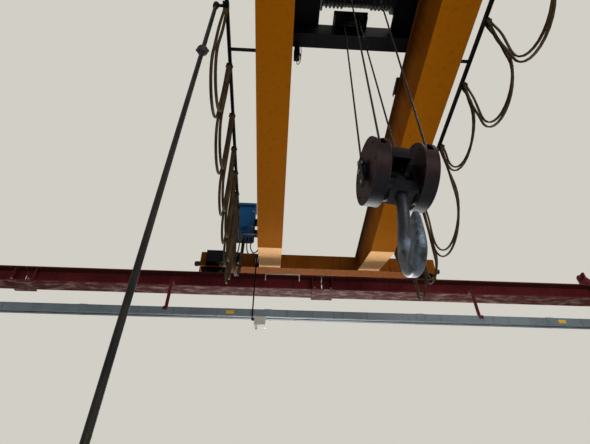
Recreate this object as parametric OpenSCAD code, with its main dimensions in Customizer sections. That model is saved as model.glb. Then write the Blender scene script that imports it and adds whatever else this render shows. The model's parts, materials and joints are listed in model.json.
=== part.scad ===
// Double-girder overhead bridge crane on its pair of runway beams.
// Millimetres. X runs along the runway, Y along the girders, Z up.
// The origin is the underside of the seat plate under the far runway beam.

/* [Runway] */
// Distance between the two runway rails
span = 12000; // [9000:100:16000]
// Distance between two runway seats
bay = 5800; // [5400:100:7000]
// Whole bays on the left of the origin
bays_left = 2; // [2:1:3]
// Whole bays on the right of the origin
bays_right = 1; // [1:1:2]
// Height of the runway beam
beam_h = 340; // [260:10:450]
// Width of the runway beam's flanges
beam_b = 300; // [260:10:340]
// Thickness of the runway beam's web
beam_tw = 12; // [10:1:20]
// Thickness of the runway beam's flanges
beam_tf = 22; // [16:1:30]
// Gap between the ends of two runway beams
beam_gap = 16; // [8:1:30]
// Thickness of a seat plate
seat_t = 20; // [12:1:40]
// Height of the crane rail
rail_h = 65; // [50:1:90]
// Width of the crane rail's head
rail_head_w = 55; // [45:1:70]
// Width of the crane rail's foot
rail_foot_w = 125; // [100:5:160]
// Distance of an end stop from the end of the runway
stop_inset = 240; // [200:10:300]

/* [Power duct] */
// Width of the power duct
duct_w = 120; // [80:5:140]
// Height of the power duct
duct_h = 150; // [100:5:180]
// Wall of the power duct
duct_wall = 4; // [3:1:8]
// Width of the slot in the duct's underside
duct_slot = 26; // [18:1:40]
// Drop from the beam's underside to the duct's top
duct_drop = 611; // [500:1:700]
// Distance of the duct's middle in front of the beam's middle
duct_out = 300; // [270:5:340]

/* [Bridge] */
// Place of the bridge's middle along the runway
crane_x = -50; // [-800:10:400]
// Distance between the two girders' middles
girder_gauge = 2010; // [1900:10:2200]
// Width of a girder's flanges
girder_w = 430; // [380:5:460]
// Distance between the outer faces of a girder's webs
girder_web_w = 380; // [330:5:400]
// Depth of a girder
girder_h = 900; // [800:10:1000]
// Thickness of a girder's flanges
girder_tf = 14; // [10:1:25]
// Thickness of a girder's webs
girder_tw = 8; // [6:1:14]
// Length of the sloping underside at a girder's end
taper_len = 1170; // [900:10:1400]
// Rise of the underside over that length
taper_rise = 460; // [380:10:500]
// Distance between the two wheels of an end carriage
wheelbase = 4300; // [4100:50:4600]
// Distance from a travel wheel's axle to the carriage's end
carriage_end = 270; // [230:10:400]
// Width of an end carriage
carriage_w = 280; // [240:10:320]
// Height of an end carriage
carriage_h = 345; // [320:5:400]
// Clearance between the rail's head and the carriage
carriage_gap = 100; // [80:5:120]
// Tread radius of a travel wheel
wheel_r = 200; // [180:5:220]

/* [Trolley] */
// Place of the trolley's middle along the span
trolley_y = -5090; // [-6400:10:-4800]
// Place of the hoist beside the bridge's middle
hoist_x = 40; // [0:5:60]
// Height of the trolley rail
trail_h = 50; // [40:1:60]
// Width of the trolley rail
trail_w = 50; // [40:1:60]
// Distance between the trolley's wheels along the girder
trolley_base = 1800; // [1700:10:2000]
// Tread radius of a trolley wheel
trolley_wheel_r = 125; // [115:1:140]
// Height of the trolley frame's members
frame_h = 300; // [280:5:340]
// Width of the trolley frame's side members
frame_w = 180; // [160:5:200]
// Place of a cross beam from the trolley's middle
cross_y = 470; // [440:5:520]
// Width of a cross beam
cross_w = 200; // [160:5:220]
// Rope radius on the drum
drum_r = 200; // [190:5:220]
// Length of the drum's grooved part
drum_len = 960; // [900:10:1000]
// Height of the drum's axis above the trolley rail
drum_up = 500; // [480:5:540]
// Rope radius on the balance sheave
equal_r = 103; // [90:1:120]
// Diameter of the hoist rope
rope_d = 20; // [14:1:22]

/* [Block and hook] */
// Drop from the drum's axis to the block's axle
block_drop = 3750; // [3000:50:4200]
// Turn of the block's axle about the vertical
block_turn = 6.5; // [0:0.5:10]
// Rope radius on a block sheave
sheave_r = 220; // [200:5:230]
// Width of a block sheave
sheave_w = 64; // [56:1:80]
// Distance between the two block sheaves
sheave_gap = 380; // [360:5:420]
// Outer radius of a sheave guard
guard_r = 275; // [268:1:290]
// Width of a sheave guard
guard_w = 112; // [100:2:160]
// Wall of a sheave guard
guard_wall = 10; // [8:1:14]
// Radius of the block's axle
axle_r = 45; // [38:1:52]
// Drop from the axle to the crosshead
cross_drop = 200; // [195:5:320]
// Radius of the hook's shank
shank_r = 50; // [38:1:54]
// Drop from the axle to the middle of the hook's bowl
bowl_drop = 725; // [690:5:760]
// Radius of the hook's mouth
mouth_r = 84; // [76:1:92]
// Depth of the hook's section at the bowl
bowl_t = 148; // [126:2:160]
// Thickness of the hook across its plane
hook_b = 118; // [100:2:130]
// Turn of the hook's plane about the vertical
hook_turn = 90; // [-180:1:180]

/* [Cable tracks] */
// Distance of the control track from the bridge's middle
left_track_x = 1529; // [1480:5:1600]
// Distance of the trolley supply track from the bridge's middle
right_track_x = 1339; // [1330:1:1400]
// Width and height of a cable track
track_w = 40; // [36:1:50]
// Wall of a cable track
track_wall = 3; // [2:1:5]
// Height of a track's top above the girder's underside
track_up = 60; // [50:5:80]
// Distance of a track's end from the runway's middle
track_end = 1400; // [1350:10:1800]
// Spacing of a track's arms
arm_step = 3300; // [3000:50:3600]
// Diameter of a festoon cable
festoon_d = 36; // [24:1:44]
// Diameter of the pendant cable
pendant_d = 40; // [24:1:44]

/* [Cabinet] */
// Width of the control cabinet
cabinet_w = 375; // [300:5:420]
// Depth of the control cabinet
cabinet_d = 250; // [200:5:320]
// Height of the control cabinet
cabinet_h = 830; // [700:10:900]
// Gap between the cabinet and the girder's web
cabinet_gap = 120; // [80:5:160]

// Place of the junction box from the far runway
junction_y = -1260; // [-1400:10:-1250]
// Width of the junction box
junction_w = 140; // [120:5:160]
// Height of the junction box
junction_h = 270; // [220:10:300]
// Height of the junction box above the girder's underside
junction_up = 130; // [120:5:160]
// Distance of the current collector from the bridge's middle
collector_side = 1273; // [1265:1:1300]

/* [Hidden] */
$fn = 48;
far = 0;
near = -span;
runway_x0 = -bays_left * bay;
runway_x1 = bays_right * bay;
beam_z0 = seat_t;
rail_z0 = beam_z0 + beam_h;
rail_z1 = rail_z0 + rail_h;
wheel_z = rail_z1 + wheel_r;
carriage_z0 = rail_z1 + carriage_gap;
carriage_z1 = carriage_z0 + carriage_h;
carriage_len = wheelbase + 2 * carriage_end;
girder_z0 = carriage_z0 - taper_rise;
girder_z1 = girder_z0 + girder_h;
end_plate_t = 15;
girder_y1 = far - carriage_w / 2 - end_plate_t;
girder_y0 = near + carriage_w / 2 + end_plate_t;
trail_z1 = girder_z1 + trail_h;
twheel_z = trail_z1 + trolley_wheel_r;
frame_z0 = trail_z1 + 50;
frame_z1 = frame_z0 + frame_h;
hoist_cx = crane_x + hoist_x;
drum_z = trail_z1 + drum_up;
drum_y = trolley_y - sheave_r + drum_r;
drum_shift = 53;
block_z = drum_z - block_drop;
cross_z = block_z - cross_drop;
bowl_z = block_z - bowl_drop;
nut_h = 60;
block_cx = crane_x + hoist_x;
equal_x = hoist_cx - 24;
equal_y = trolley_y + 230;
equal_z = frame_z1 - 150;
lead_left = hoist_cx - 129;
lead_right = hoist_cx + 235;
track_z1 = girder_z0 + track_up;
track_z0 = track_z1 - track_w;
left_track = crane_x - left_track_x;
right_track = crane_x + right_track_x;
arm_ys = concat([for (y = [far - track_end - 200 : -arm_step : near + track_end + 300]) y],
  [near + track_end + 150]);
left_carriers = [-2350, -2650, -3070, -3510, -4050, -4740];
left_drops = [1500, 1480, 1450, 1420, 1350, 1300];
right_carriers = [-1650, -2150, -2650, -3700, -4640, -5420];
right_drops = [1250, 1300, 1350, 780, 1120, 1200];
tow_y = -6200;
pendant_y = -5440;
pendant_side = 105;
pendant_len = 4980;
station_h = 360;
carrier_h = 90;
seat_w = 260;
seat_l = 420;
seat_bolt_x = 320;
seat_bolt_y = 160;
seat_bolt_r = 13;
cabinet_y = -950;
cabinet_z0 = girder_z0 + 380;
cabinet_x1 = crane_x - girder_gauge / 2 - girder_web_w / 2 - cabinet_gap;

orange = "#8a5a1e";
maroon = "#4b1e20";
black = "#1c1a1c";
steel = "#5c6066";
grey = "#8d9496";
brown = "#5a4632";
blue = "#103258";

// A range from a to b, counted from the place c
function reach(c, a, b) = [c + a, c + b];

// A box between two corners given as ranges along X, Y and Z
module slab(x, y, z) {
  translate([x[0], y[0], z[0]]) cube([x[1] - x[0], y[1] - y[0], z[1] - z[0]]);
}

// A round bar along X, Y or Z from a point, with its length
module bar_x(p, r, l) { translate(p) rotate([0, 90, 0]) cylinder(r = r, h = l); }
module bar_y(p, r, l) { translate(p) rotate([-90, 0, 0]) cylinder(r = r, h = l); }
module bar_z(p, r, l) { translate(p) cylinder(r = r, h = l); }

// A straight round bar between any two points
module strand(a, b, r) {
  d = b - a;
  l = norm(d);
  translate(a) rotate([0, acos(d[2] / l), atan2(d[1], d[0])]) cylinder(r = r, h = l);
}

// An outline in Y and Z, pushed along X and set with its middle at x
module along_x(x, l) {
  translate([x - l / 2, 0, 0]) rotate([90, 0, 90]) linear_extrude(l) children();
}

// An outline in X and Z, pushed along Y from y0 to y1
module along_y(y0, y1) {
  translate([0, y1, 0]) rotate([90, 0, 0]) linear_extrude(y1 - y0) children();
}

// Runway beams: rolled I-section, one length for each bay
module i_section(b, h, tw, tf) {
  translate([-b / 2, 0]) square([b, tf]);
  translate([-b / 2, h - tf]) square([b, tf]);
  translate([-tw / 2, 0]) square([tw, h]);
}

module runway_beams(y) {
  for (i = [-bays_left : bays_right - 1])
    translate([(i + 0.5) * bay, y, beam_z0]) {
      along_x(0, bay - beam_gap) i_section(beam_b, beam_h, beam_tw, beam_tf);
      for (s = [-1, 1], w = [-1, 1])
        slab(reach(s * (bay / 2 - 200), -6, 6), w > 0 ? [beam_tw / 2, beam_b / 2 - 12]
          : [12 - beam_b / 2, -beam_tw / 2], [beam_tf, beam_h - beam_tf]);
    }
}

module runway_beam_far() { color(maroon) runway_beams(far); }
module runway_beam_near() { color(maroon) runway_beams(near); }

// Crane rails: flat-footed section, welded into one length
module rail_section() {
  polygon([[-rail_foot_w / 2, 0], [rail_foot_w / 2, 0], [rail_foot_w / 2, 10], [24, 18],
    [16, 28], [16, rail_h - 24], [rail_head_w / 2, rail_h - 18], [rail_head_w / 2, rail_h - 4],
    [rail_head_w / 2 - 5, rail_h], [5 - rail_head_w / 2, rail_h], [-rail_head_w / 2, rail_h - 4],
    [-rail_head_w / 2, rail_h - 18], [-16, rail_h - 24], [-16, 28], [-24, 18],
    [-rail_foot_w / 2, 10]]);
}

module runway_rail(y) {
  color(steel) translate([(runway_x0 + runway_x1) / 2, y, rail_z0])
    along_x(0, runway_x1 - runway_x0 - beam_gap) rail_section();
}

module runway_rail_far() { runway_rail(far); }
module runway_rail_near() { runway_rail(near); }

// Seat plates under the beams' ends, with four holding-down holes each
module runway_seats() {
  color(maroon) for (i = [-bays_left : bays_right], y = [far, near])
    translate([i * bay, y, 0]) difference() {
      slab([-seat_l / 2, seat_l / 2], [-seat_w / 2 - 60, seat_w / 2 + 60], [0, seat_t]);
      for (sx = [-1, 1], sy = [-1, 1])
        bar_z([sx * seat_bolt_x / 2, sy * (seat_w / 2 + 30), -1], seat_bolt_r, seat_t + 2);
    }
}

// End stops on the rails, a post with a stay and a rubber pad each
module runway_stop(x, y, s) {
  translate([x, y, rail_z1]) {
    slab([-20, 20], [-110, 110], [0, wheel_r + 70]);
    for (k = [-70, 70]) translate([0, k, 0]) rotate([90, 0, 0]) translate([0, 0, -8])
      linear_extrude(16) polygon([[s * 20, 0], [s * 190, 0], [s * 190, 30], [s * 20, wheel_r]]);
    bar_x([s > 0 ? -70 : 20, 0, wheel_r], 60, 50);
  }
}

module runway_stops() {
  color(maroon) for (y = [far, near]) {
    runway_stop(runway_x0 + stop_inset, y, -1);
    runway_stop(runway_x1 - stop_inset, y, 1);
  }
}

// Power duct: an enclosed conductor line, slotted along its underside
duct_z1 = beam_z0 - duct_drop;
duct_z0 = duct_z1 - duct_h;
duct_y = far - duct_out;

module power_duct() {
  color(grey) translate([(runway_x0 + runway_x1) / 2, duct_y, duct_z0])
    along_x(0, runway_x1 - runway_x0 - 200) difference() {
      translate([-duct_w / 2, 0]) square([duct_w, duct_h]);
      translate([duct_wall - duct_w / 2, duct_wall])
        square([duct_w - 2 * duct_wall, duct_h - 2 * duct_wall]);
      translate([-duct_slot / 2, -1]) square([duct_slot, duct_wall + 2]);
    }
}

// Duct hangers: a flange clamp, an arm and a saddle in the middle of each bay
module duct_hangers() {
  color(maroon) for (i = [-bays_left : bays_right - 1])
    translate([(i + 0.5) * bay, 0, 0]) {
      slab([-40, 40], [duct_y - 10, -beam_b / 2 + 90], [beam_z0 - 14, beam_z0]);
      slab([-30, 30], [duct_y - 6, duct_y + 6], [duct_z1 + 8, beam_z0 - 14]);
      slab([-40, 40], [duct_y - duct_w / 2 - 8, duct_y + duct_w / 2 + 8], [duct_z1, duct_z1 + 8]);
      for (s = [-1, 1])
        slab([-40, 40], s > 0 ? reach(duct_y + duct_w / 2, 0, 8) : reach(duct_y - duct_w / 2, -8, 0),
          [duct_z1 - 60, duct_z1]);
    }
}

// A bent round bar on the beam's upper flange
staple_w = 670;
staple_drop = 150;
staple_r = 9;

module flange_staple() {
  x0 = crane_x - 1080;
  y = far - beam_b / 2 - staple_r;
  z = rail_z0 - staple_r - 4;
  color(grey) {
    bar_x([x0, y, z], staple_r, staple_w);
    for (x = [x0, x0 + staple_w]) bar_z([x, y, z - staple_drop], staple_r, staple_drop + staple_r);
  }
}

// Box girders: webs, a straight top flange and an underside that slopes up at both ends
function girder_outline(inset) = [
  [girder_y0, girder_z1 - inset], [girder_y0, carriage_z0 + inset],
  [girder_y0 + taper_len, girder_z0 + inset], [girder_y1 - taper_len, girder_z0 + inset],
  [girder_y1, carriage_z0 + inset], [girder_y1, girder_z1 - inset]];

module underside(t) {
  polygon([[girder_y0, carriage_z0], [girder_y0 + taper_len, girder_z0],
    [girder_y1 - taper_len, girder_z0], [girder_y1, carriage_z0], [girder_y1, carriage_z0 + t],
    [girder_y1 - taper_len, girder_z0 + t], [girder_y0 + taper_len, girder_z0 + t],
    [girder_y0, carriage_z0 + t]]);
}

module girder(x) {
  lap = carriage_w - 30;
  color(orange) {
    along_x(x, girder_w) underside(girder_tf);
    slab(reach(x, -girder_w / 2, girder_w / 2), [girder_y0 - lap, girder_y1 + lap],
      [girder_z1 - girder_tf, girder_z1]);
    for (s = [-1, 1])
      along_x(x + s * (girder_web_w - girder_tw) / 2, girder_tw)
        polygon(girder_outline(girder_tf / 2));
    for (i = [1 : 5])
      slab(reach(x, girder_tw / 2 - girder_web_w / 2, girder_web_w / 2 - girder_tw / 2),
        reach(near + i * span / 6, -4, 4), [girder_z0 + 1, girder_z1 - 1]);
    for (e = [0, 1]) {
      y = e > 0 ? reach(girder_y1, 0, end_plate_t) : reach(girder_y0, -end_plate_t, 0);
      slab(reach(x, -girder_w / 2, girder_w / 2), y, [carriage_z0, girder_z1 - 1]);
      for (k = [-1, 0, 1])
        slab(reach(x + k * (girder_web_w / 2 - 20), -8, 8),
          e > 0 ? [girder_y1 + end_plate_t, girder_y1 + lap]
          : [girder_y0 - lap, girder_y0 - end_plate_t], [carriage_z1, girder_z1 - 1]);
    }
  }
}

module girder_left() { girder(crane_x - girder_gauge / 2); }
module girder_right() { girder(crane_x + girder_gauge / 2); }

// End carriages: a box with wheel pockets at its ends and a flange along its foot
pocket_l = 2 * wheel_r + 100;
axle_hole_r = 42;

module carriage(y) {
  color(orange) translate([crane_x, y, 0]) difference() {
    slab([-carriage_len / 2, carriage_len / 2], [-carriage_w / 2, carriage_w / 2],
      [carriage_z0, carriage_z1]);
    slab([pocket_l / 2 - wheelbase / 2 + 10, wheelbase / 2 - pocket_l / 2 - 10],
      [8 - carriage_w / 2, carriage_w / 2 - 8], [carriage_z0 + 10, carriage_z1 - 10]);
    for (s = [-1, 1]) {
      slab(reach(s * wheelbase / 2, -pocket_l / 2, pocket_l / 2),
        [40 - carriage_w / 2, carriage_w / 2 - 40], [carriage_z0 - 1, carriage_z1 - 12]);
      bar_y([s * wheelbase / 2, -carriage_w / 2 - 1, wheel_z], axle_hole_r, carriage_w + 2);
    }
  }
}

module carriage_far() { carriage(far); }
module carriage_near() { carriage(near); }

// Travel wheels: double-flanged, each fixed on an axle that runs through its carriage
module travel_wheel() {
  w = carriage_w - 90;
  rotate([90, 0, 0]) rotate_extrude()
    polygon([[0, -w / 2], [60, -w / 2], [60, -50], [wheel_r + 22, -50], [wheel_r + 22, -34],
      [wheel_r, -rail_head_w / 2 - 5], [wheel_r, rail_head_w / 2 + 5], [wheel_r + 22, 34],
      [wheel_r + 22, 50], [60, 50], [60, w / 2], [0, w / 2]]);
}

module travel_wheels() {
  color(black) for (y = [far, near], s = [-1, 1])
    translate([crane_x + s * wheelbase / 2, y, wheel_z]) {
      travel_wheel();
      bar_y([0, -carriage_w / 2 - 30, 0], axle_hole_r, carriage_w + 60);
    }
}

// Buffers on the ends of the carriages
module carriage_buffers() {
  color(black) for (y = [far, near], s = [-1, 1])
    translate([crane_x + s * carriage_len / 2, y, wheel_z + 40]) rotate([0, s * 90, 0])
      rotate_extrude()
        polygon([[0, 0], [80, 0], [80, 14], [48, 20], [55, 50], [55, 110], [40, 130], [0, 130]]);
}

// Travel drives: gearbox on the carriage's inner face, motor beside it
module travel_drive(y, s) {
  x = crane_x - wheelbase / 2;
  w = s * (carriage_w / 2);
  color(black) translate([x, y + w, wheel_z]) {
    slab([-130, 190], s > 0 ? [31, 190] : [-190, -31], [-130, 150]);
    bar_x([190, s * 125, 20], 105, 330);
    bar_x([520, s * 125, 20], 90, 60);
    slab([300, 420], s > 0 ? [60, 190] : [-190, -60], [110, 165]);
    slab([-60, 60], s > 0 ? [30, 40] : [-40, -30], [-60, 60]);
    slab([110, 190], s > 0 ? [0, 40] : [-40, 0], [70, 150]);
  }
}

module travel_drive_far() { travel_drive(far, -1); }
module travel_drive_near() { travel_drive(near, 1); }

// Trolley rails and the stops at their ends
trail_end = 240;

module trolley_rails() {
  color(steel) for (s = [-1, 1])
    slab(reach(crane_x + s * girder_gauge / 2, -trail_w / 2, trail_w / 2),
      [near + trail_end, far - trail_end], [girder_z1, trail_z1]);
}

module trolley_stops() {
  color(black) for (s = [-1, 1], e = [-1, 1])
    translate([crane_x + s * girder_gauge / 2, e > 0 ? far - trail_end - 120
      : near + trail_end + 120, trail_z1]) {
      slab([-60, 60], [-12, 12], [0, trolley_wheel_r + 60]);
      slab([-8, 8], e > 0 ? [12, 110] : [-110, -12], [0, 110]);
    }
}

// Control cabinet: a body with a hood, a door on its face and a gland plate under it
module control_cabinet() {
  x = cabinet_x1 - cabinet_w;
  y = cabinet_y - cabinet_d;
  color(blue) {
    slab([x, cabinet_x1], [y, cabinet_y], [cabinet_z0 + 40, cabinet_z0 + cabinet_h - 90]);
    slab([x + 12, cabinet_x1 - 12], [y + 12, cabinet_y - 12],
      [cabinet_z0 + cabinet_h - 90, cabinet_z0 + cabinet_h - 66]);
    slab([x - 12, cabinet_x1 + 12], [y - 14, cabinet_y],
      [cabinet_z0 + cabinet_h - 66, cabinet_z0 + cabinet_h]);
    slab([x + 14, cabinet_x1 - 14], [y - 10, y + 4],
      [cabinet_z0 + 60, cabinet_z0 + cabinet_h - 110]);
    slab([x + 20, cabinet_x1 - 20], [y + 20, cabinet_y - 20], [cabinet_z0, cabinet_z0 + 40]);
    for (i = [0 : 4])
      bar_z([x + 50 + i * (cabinet_w - 100) / 4, y + cabinet_d / 2, cabinet_z0 - 50], 16, 50);
  }
}

// Brackets from the girder's web to the cabinet's side
module cabinet_brackets() {
  color(black) for (z = [cabinet_z0 + 140, cabinet_z0 + 420])
    slab([cabinet_x1, cabinet_x1 + cabinet_gap], [cabinet_y - cabinet_d + 40, cabinet_y - 40],
      [z, z + 40]);
}

// Junction box at the far end of the supply track
module junction_box() {
  x = crane_x + girder_gauge / 2 + girder_web_w / 2;
  color(black) {
    slab([x, x + 130], reach(junction_y, -junction_w / 2, junction_w / 2),
      [girder_z0 + junction_up, girder_z0 + junction_up + junction_h]);
    for (i = [0, 1])
      bar_z([x + 45 + 40 * i, junction_y, girder_z0 + junction_up - 40], 13, 40);
  }
}

// Current collector: a rod from the carriage down to a carriage under the duct
collector_x = crane_x - collector_side;
collector_y = duct_y - duct_w / 2 - 40;
collector_w = 200;
collector_h = 150;

module collector_arm() {
  z = duct_z0 - 90;
  color(black) {
    slab(reach(collector_x, -30, 30), [collector_y - 20, far - carriage_w / 2],
      [carriage_z0 + 40, carriage_z0 + 60]);
    slab(reach(collector_x, -40, 40), reach(far - carriage_w / 2, -12, 0),
      [carriage_z0 + 20, carriage_z0 + 120]);
    bar_z([collector_x, collector_y, z], 13, carriage_z0 + 40 - z);
    bar_x([collector_x - 13, collector_y, z], 22, 52);
  }
}

module collector_trolley() {
  x = collector_x + 39;
  color(grey) {
    slab([x, x + collector_w], [collector_y - 20, duct_y + 50],
      [duct_z0 - 40 - collector_h, duct_z0 - 30]);
    for (k = [0.25, 0.75])
      slab(reach(x + k * collector_w, -20, 20), reach(duct_y, -6, 6), [duct_z0 - 30, duct_z0 + 60]);
    bar_z([x + 40, duct_y, duct_z0 - 90 - collector_h], 14, 50);
  }
}

// Cable tracks: C-section, open along the underside, on arms from the girders' webs
module track_section() {
  difference() {
    square([track_w, track_w]);
    translate([track_wall, track_wall])
      square([track_w - 2 * track_wall, track_w - 2 * track_wall]);
    translate([track_w / 2 - 6, -1]) square([12, track_wall + 2]);
  }
}

module track(x, web, s) {
  color(black) {
    translate([x - track_w / 2, 0, track_z0])
      along_y(near + track_end, far - track_end) track_section();
    for (y = arm_ys)
      slab(s > 0 ? [web, x + track_w / 2] : [x - track_w / 2, web], [y - 20, y + 20],
        [track_z1, track_z1 + 10]);
  }
}

module track_left() {
  track(left_track, crane_x - girder_gauge / 2 - girder_web_w / 2, -1);
}

module track_right() {
  track(right_track, crane_x + girder_gauge / 2 + girder_web_w / 2, 1);
}

// Festoon carriers: a hanger in the track's slot and a saddle that carries the cable
module carrier(x, y) {
  translate([x, y, track_z0]) {
    slab([-4, 4], [-22, 22], [-40, 12]);
    slab([-14, 14], [-26, 26], [track_wall + 0.3, track_wall + 22]);
    difference() {
      bar_x([-32, 0, -carrier_h + 20], 46, 64);
      slab([-33, 33], [-47, 47], [-carrier_h - 30, -carrier_h]);
    }
  }
}

module carriers_left() {
  color(black) for (y = left_carriers) carrier(left_track, y);
}

module carriers_right() {
  color(black) for (y = right_carriers) carrier(right_track, y);
}

// Festoon cables: one hanging loop between each pair of carriers
module cable_loop(x, y0, y1, drop) {
  r = abs(y1 - y0) / 2 - 24;
  c = (y0 + y1) / 2;
  z = track_z0 - carrier_h;
  for (s = [-1, 1]) bar_z([x, c + s * r, z - drop + r], festoon_d / 2, drop - r);
  translate([x, c, z - drop + r]) rotate([0, 90, 0]) rotate([0, 0, -90])
    rotate_extrude(angle = 180) translate([r, 0]) circle(festoon_d / 2);
}

module festoon_left() {
  ys = concat(left_carriers, [pendant_y]);
  color(brown) for (i = [0 : len(left_drops) - 1])
    cable_loop(left_track, ys[i], ys[i + 1], left_drops[i]);
}

module festoon_right() {
  ys = concat(right_carriers, [tow_y]);
  color(brown) for (i = [0 : len(right_drops) - 1])
    cable_loop(right_track, ys[i], ys[i + 1], right_drops[i]);
}

// Pendant carrier: the last saddle on the control track, with the pendant cable's clamp
module pendant_carrier() {
  color(black) {
    carrier(left_track, pendant_y);
    slab(reach(left_track, -pendant_side + 22, 0), reach(pendant_y, -14, 14),
      reach(track_z0 - carrier_h, 0, 22));
    translate([left_track - pendant_side, pendant_y, track_z0 - carrier_h - 20])
      difference() {
        cylinder(r = pendant_d / 2 + 12, h = 60);
        translate([0, 0, -1]) cylinder(r = pendant_d / 2, h = 62);
      }
  }
}

// Pendant cable and the push-button station on its end
pendant_x = left_track - pendant_side;
pendant_top = track_z0 - carrier_h + 60;
station_top = pendant_top - pendant_len;

module pendant_cable() {
  color(black) bar_z([pendant_x, pendant_y, station_top], pendant_d / 2, pendant_len);
}

module pendant_station() {
  color("#b0891c") translate([pendant_x, pendant_y, station_top]) {
    rotate([180, 0, 0]) cylinder(r1 = pendant_d / 2 + 4, r2 = 38, h = 70);
    slab([-45, 45], [-38, 38], [-station_h, -70]);
    for (i = [0 : 5]) bar_y([0, -48, -110 - 42 * i], 14, 12);
  }
}

// Supply cable from the junction box down to the far carriage
supply_points = [[1190, -1260, 154.7], [1190, -1260, 100], [1202, -1244, 30], [1260, -1180, -60],
  [1360, -1000, -120], [1500, -780, -60], [1640, -560, 80], [1760, -390, 260], [1840, -290, 400],
  [1890, -230, 520], [1906, -206, 620], [1910, -190, 680], [1910, -172, 700], [1910, -140.3, 700]];

function ring(p, d, r, n) =
  let(l = norm(d), u = cross(d / l, [0, 0, 1]), a = norm(u) < 0.01 ? [1, 0, 0] : u / norm(u),
    b = cross(d / l, a))
  [for (i = [0 : n - 1]) p + r * (a * cos(360 * i / n) + b * sin(360 * i / n))];

module tube(pts, r, n) {
  m = len(pts);
  rings = [for (i = [0 : m - 1])
    ring(pts[i], pts[min(i + 1, m - 1)] - pts[max(i - 1, 0)], r, n)];
  polyhedron([for (q = rings) each q],
    concat([[for (i = [0 : n - 1]) i]], [[for (i = [0 : n - 1]) m * n - 1 - i]],
      [for (j = [0 : m - 2], i = [0 : n - 1])
        [j * n + (i + 1) % n, j * n + i, (j + 1) * n + i, (j + 1) * n + (i + 1) % n]]));
}

module supply_cable() {
  color(brown) tube(supply_points, 13, 8);
}

// Leads from the cabinet and the junction box to the first carrier on each track
left_lead = [[-1552.5, -1075, 394.7], [-1552.5, -1075, 330], [-1555, -1080, 200],
  [-1560, -1120, -100], [-1566, -1250, -420], [-1572, -1500, -680],
  [-1576, -1750, -760], [-1579, -2000, -700], [-1579, -2200, -520], [-1579, -2300, -250],
  [-1579, -2326, -70], [-1579, -2326, -5.3]];
right_lead = [[1230, -1260, 154.7], [1230, -1260, 90], [1232, -1264, 0], [1240, -1285, -200],
  [1254, -1350, -380], [1268, -1455, -440], [1280, -1560, -370], [1288, -1612, -200],
  [1289, -1626, -70], [1289, -1626, -5.3]];

module festoon_leads() {
  color(brown) tube(left_lead, festoon_d / 2, 10);
  color(brown) tube(right_lead, festoon_d / 2, 10);
}

// Trolley frame: two side members with wheel pockets, joined by two cross beams
side_len = trolley_base + 500;
twheel_hole_r = 30;

module side_member(x) {
  translate([x, trolley_y, 0]) difference() {
    slab([-frame_w / 2, frame_w / 2], [-side_len / 2, side_len / 2], [frame_z0, frame_z1]);
    slab([10 - frame_w / 2, frame_w / 2 - 10],
      [trolley_wheel_r + 60 - trolley_base / 2, trolley_base / 2 - trolley_wheel_r - 60],
      [frame_z0 + 12, frame_z1 - 12]);
    for (s = [-1, 1]) {
      slab([25 - frame_w / 2, frame_w / 2 - 25],
        reach(s * trolley_base / 2, -trolley_wheel_r - 40, trolley_wheel_r + 40),
        [frame_z0 - 1, frame_z1 - 12]);
      bar_x([-frame_w / 2 - 1, s * trolley_base / 2, twheel_z], twheel_hole_r, frame_w + 2);
    }
  }
}

module trolley_frame() {
  inner = girder_gauge / 2 - frame_w / 2;
  color(black) {
    for (s = [-1, 1]) side_member(crane_x + s * girder_gauge / 2);
    for (s = [-1, 1])
      slab(reach(crane_x, -inner - 1, inner + 1),
        reach(trolley_y + s * cross_y, -cross_w / 2, cross_w / 2), [frame_z0, frame_z1]);
    slab([crane_x - inner - 1, drum_x - drum_len / 2 - 30],
      reach(trolley_y, -cross_y, cross_y), [frame_z1 - 12, frame_z1]);
    slab([drum_x + drum_len / 2 + 30, crane_x + inner + 1],
      reach(trolley_y, -cross_y, cross_y), [frame_z1 - 12, frame_z1]);
    slab(reach(crane_x, -inner - 1, inner + 1),
      reach(trolley_y - cross_y, -cross_w / 2 - 420, -cross_w / 2), [frame_z1 - 12, frame_z1]);
  }
}

module trolley_wheels() {
  color(steel) for (sx = [-1, 1], sy = [-1, 1])
    translate([crane_x + sx * girder_gauge / 2, trolley_y + sy * trolley_base / 2, twheel_z]) {
      rotate([0, 90, 0]) rotate_extrude()
        polygon([[0, -55], [45, -55], [45, -48], [trolley_wheel_r + 16, -48],
          [trolley_wheel_r + 16, -38], [trolley_wheel_r, -30], [trolley_wheel_r, 30],
          [trolley_wheel_r + 16, 38], [trolley_wheel_r + 16, 48], [45, 48], [45, 55], [0, 55]]);
      bar_x([-frame_w / 2 - 20, 0, 0], twheel_hole_r, frame_w + 40);
    }
}

// Trolley drive: a gear motor outside the left side member, with a shaft to the wheel
module trolley_drive() {
  x = crane_x - girder_gauge / 2 - frame_w / 2 - 20;
  color(black) translate([x, trolley_y - trolley_base / 2, twheel_z]) {
    slab([-110, 0], [-90, 150], [-90, 120]);
    bar_y([-95, 150, 40], 85, 300);
    bar_y([-95, 450, 40], 70, 50);
  }
}

module trolley_buffers() {
  color(black) for (sx = [-1, 1], sy = [-1, 1])
    translate([crane_x + sx * girder_gauge / 2, trolley_y + sy * side_len / 2,
      trail_z1 + trolley_wheel_r + 10]) rotate([-sy * 90, 0, 0])
      cylinder(r = 38, h = 70);
}

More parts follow.
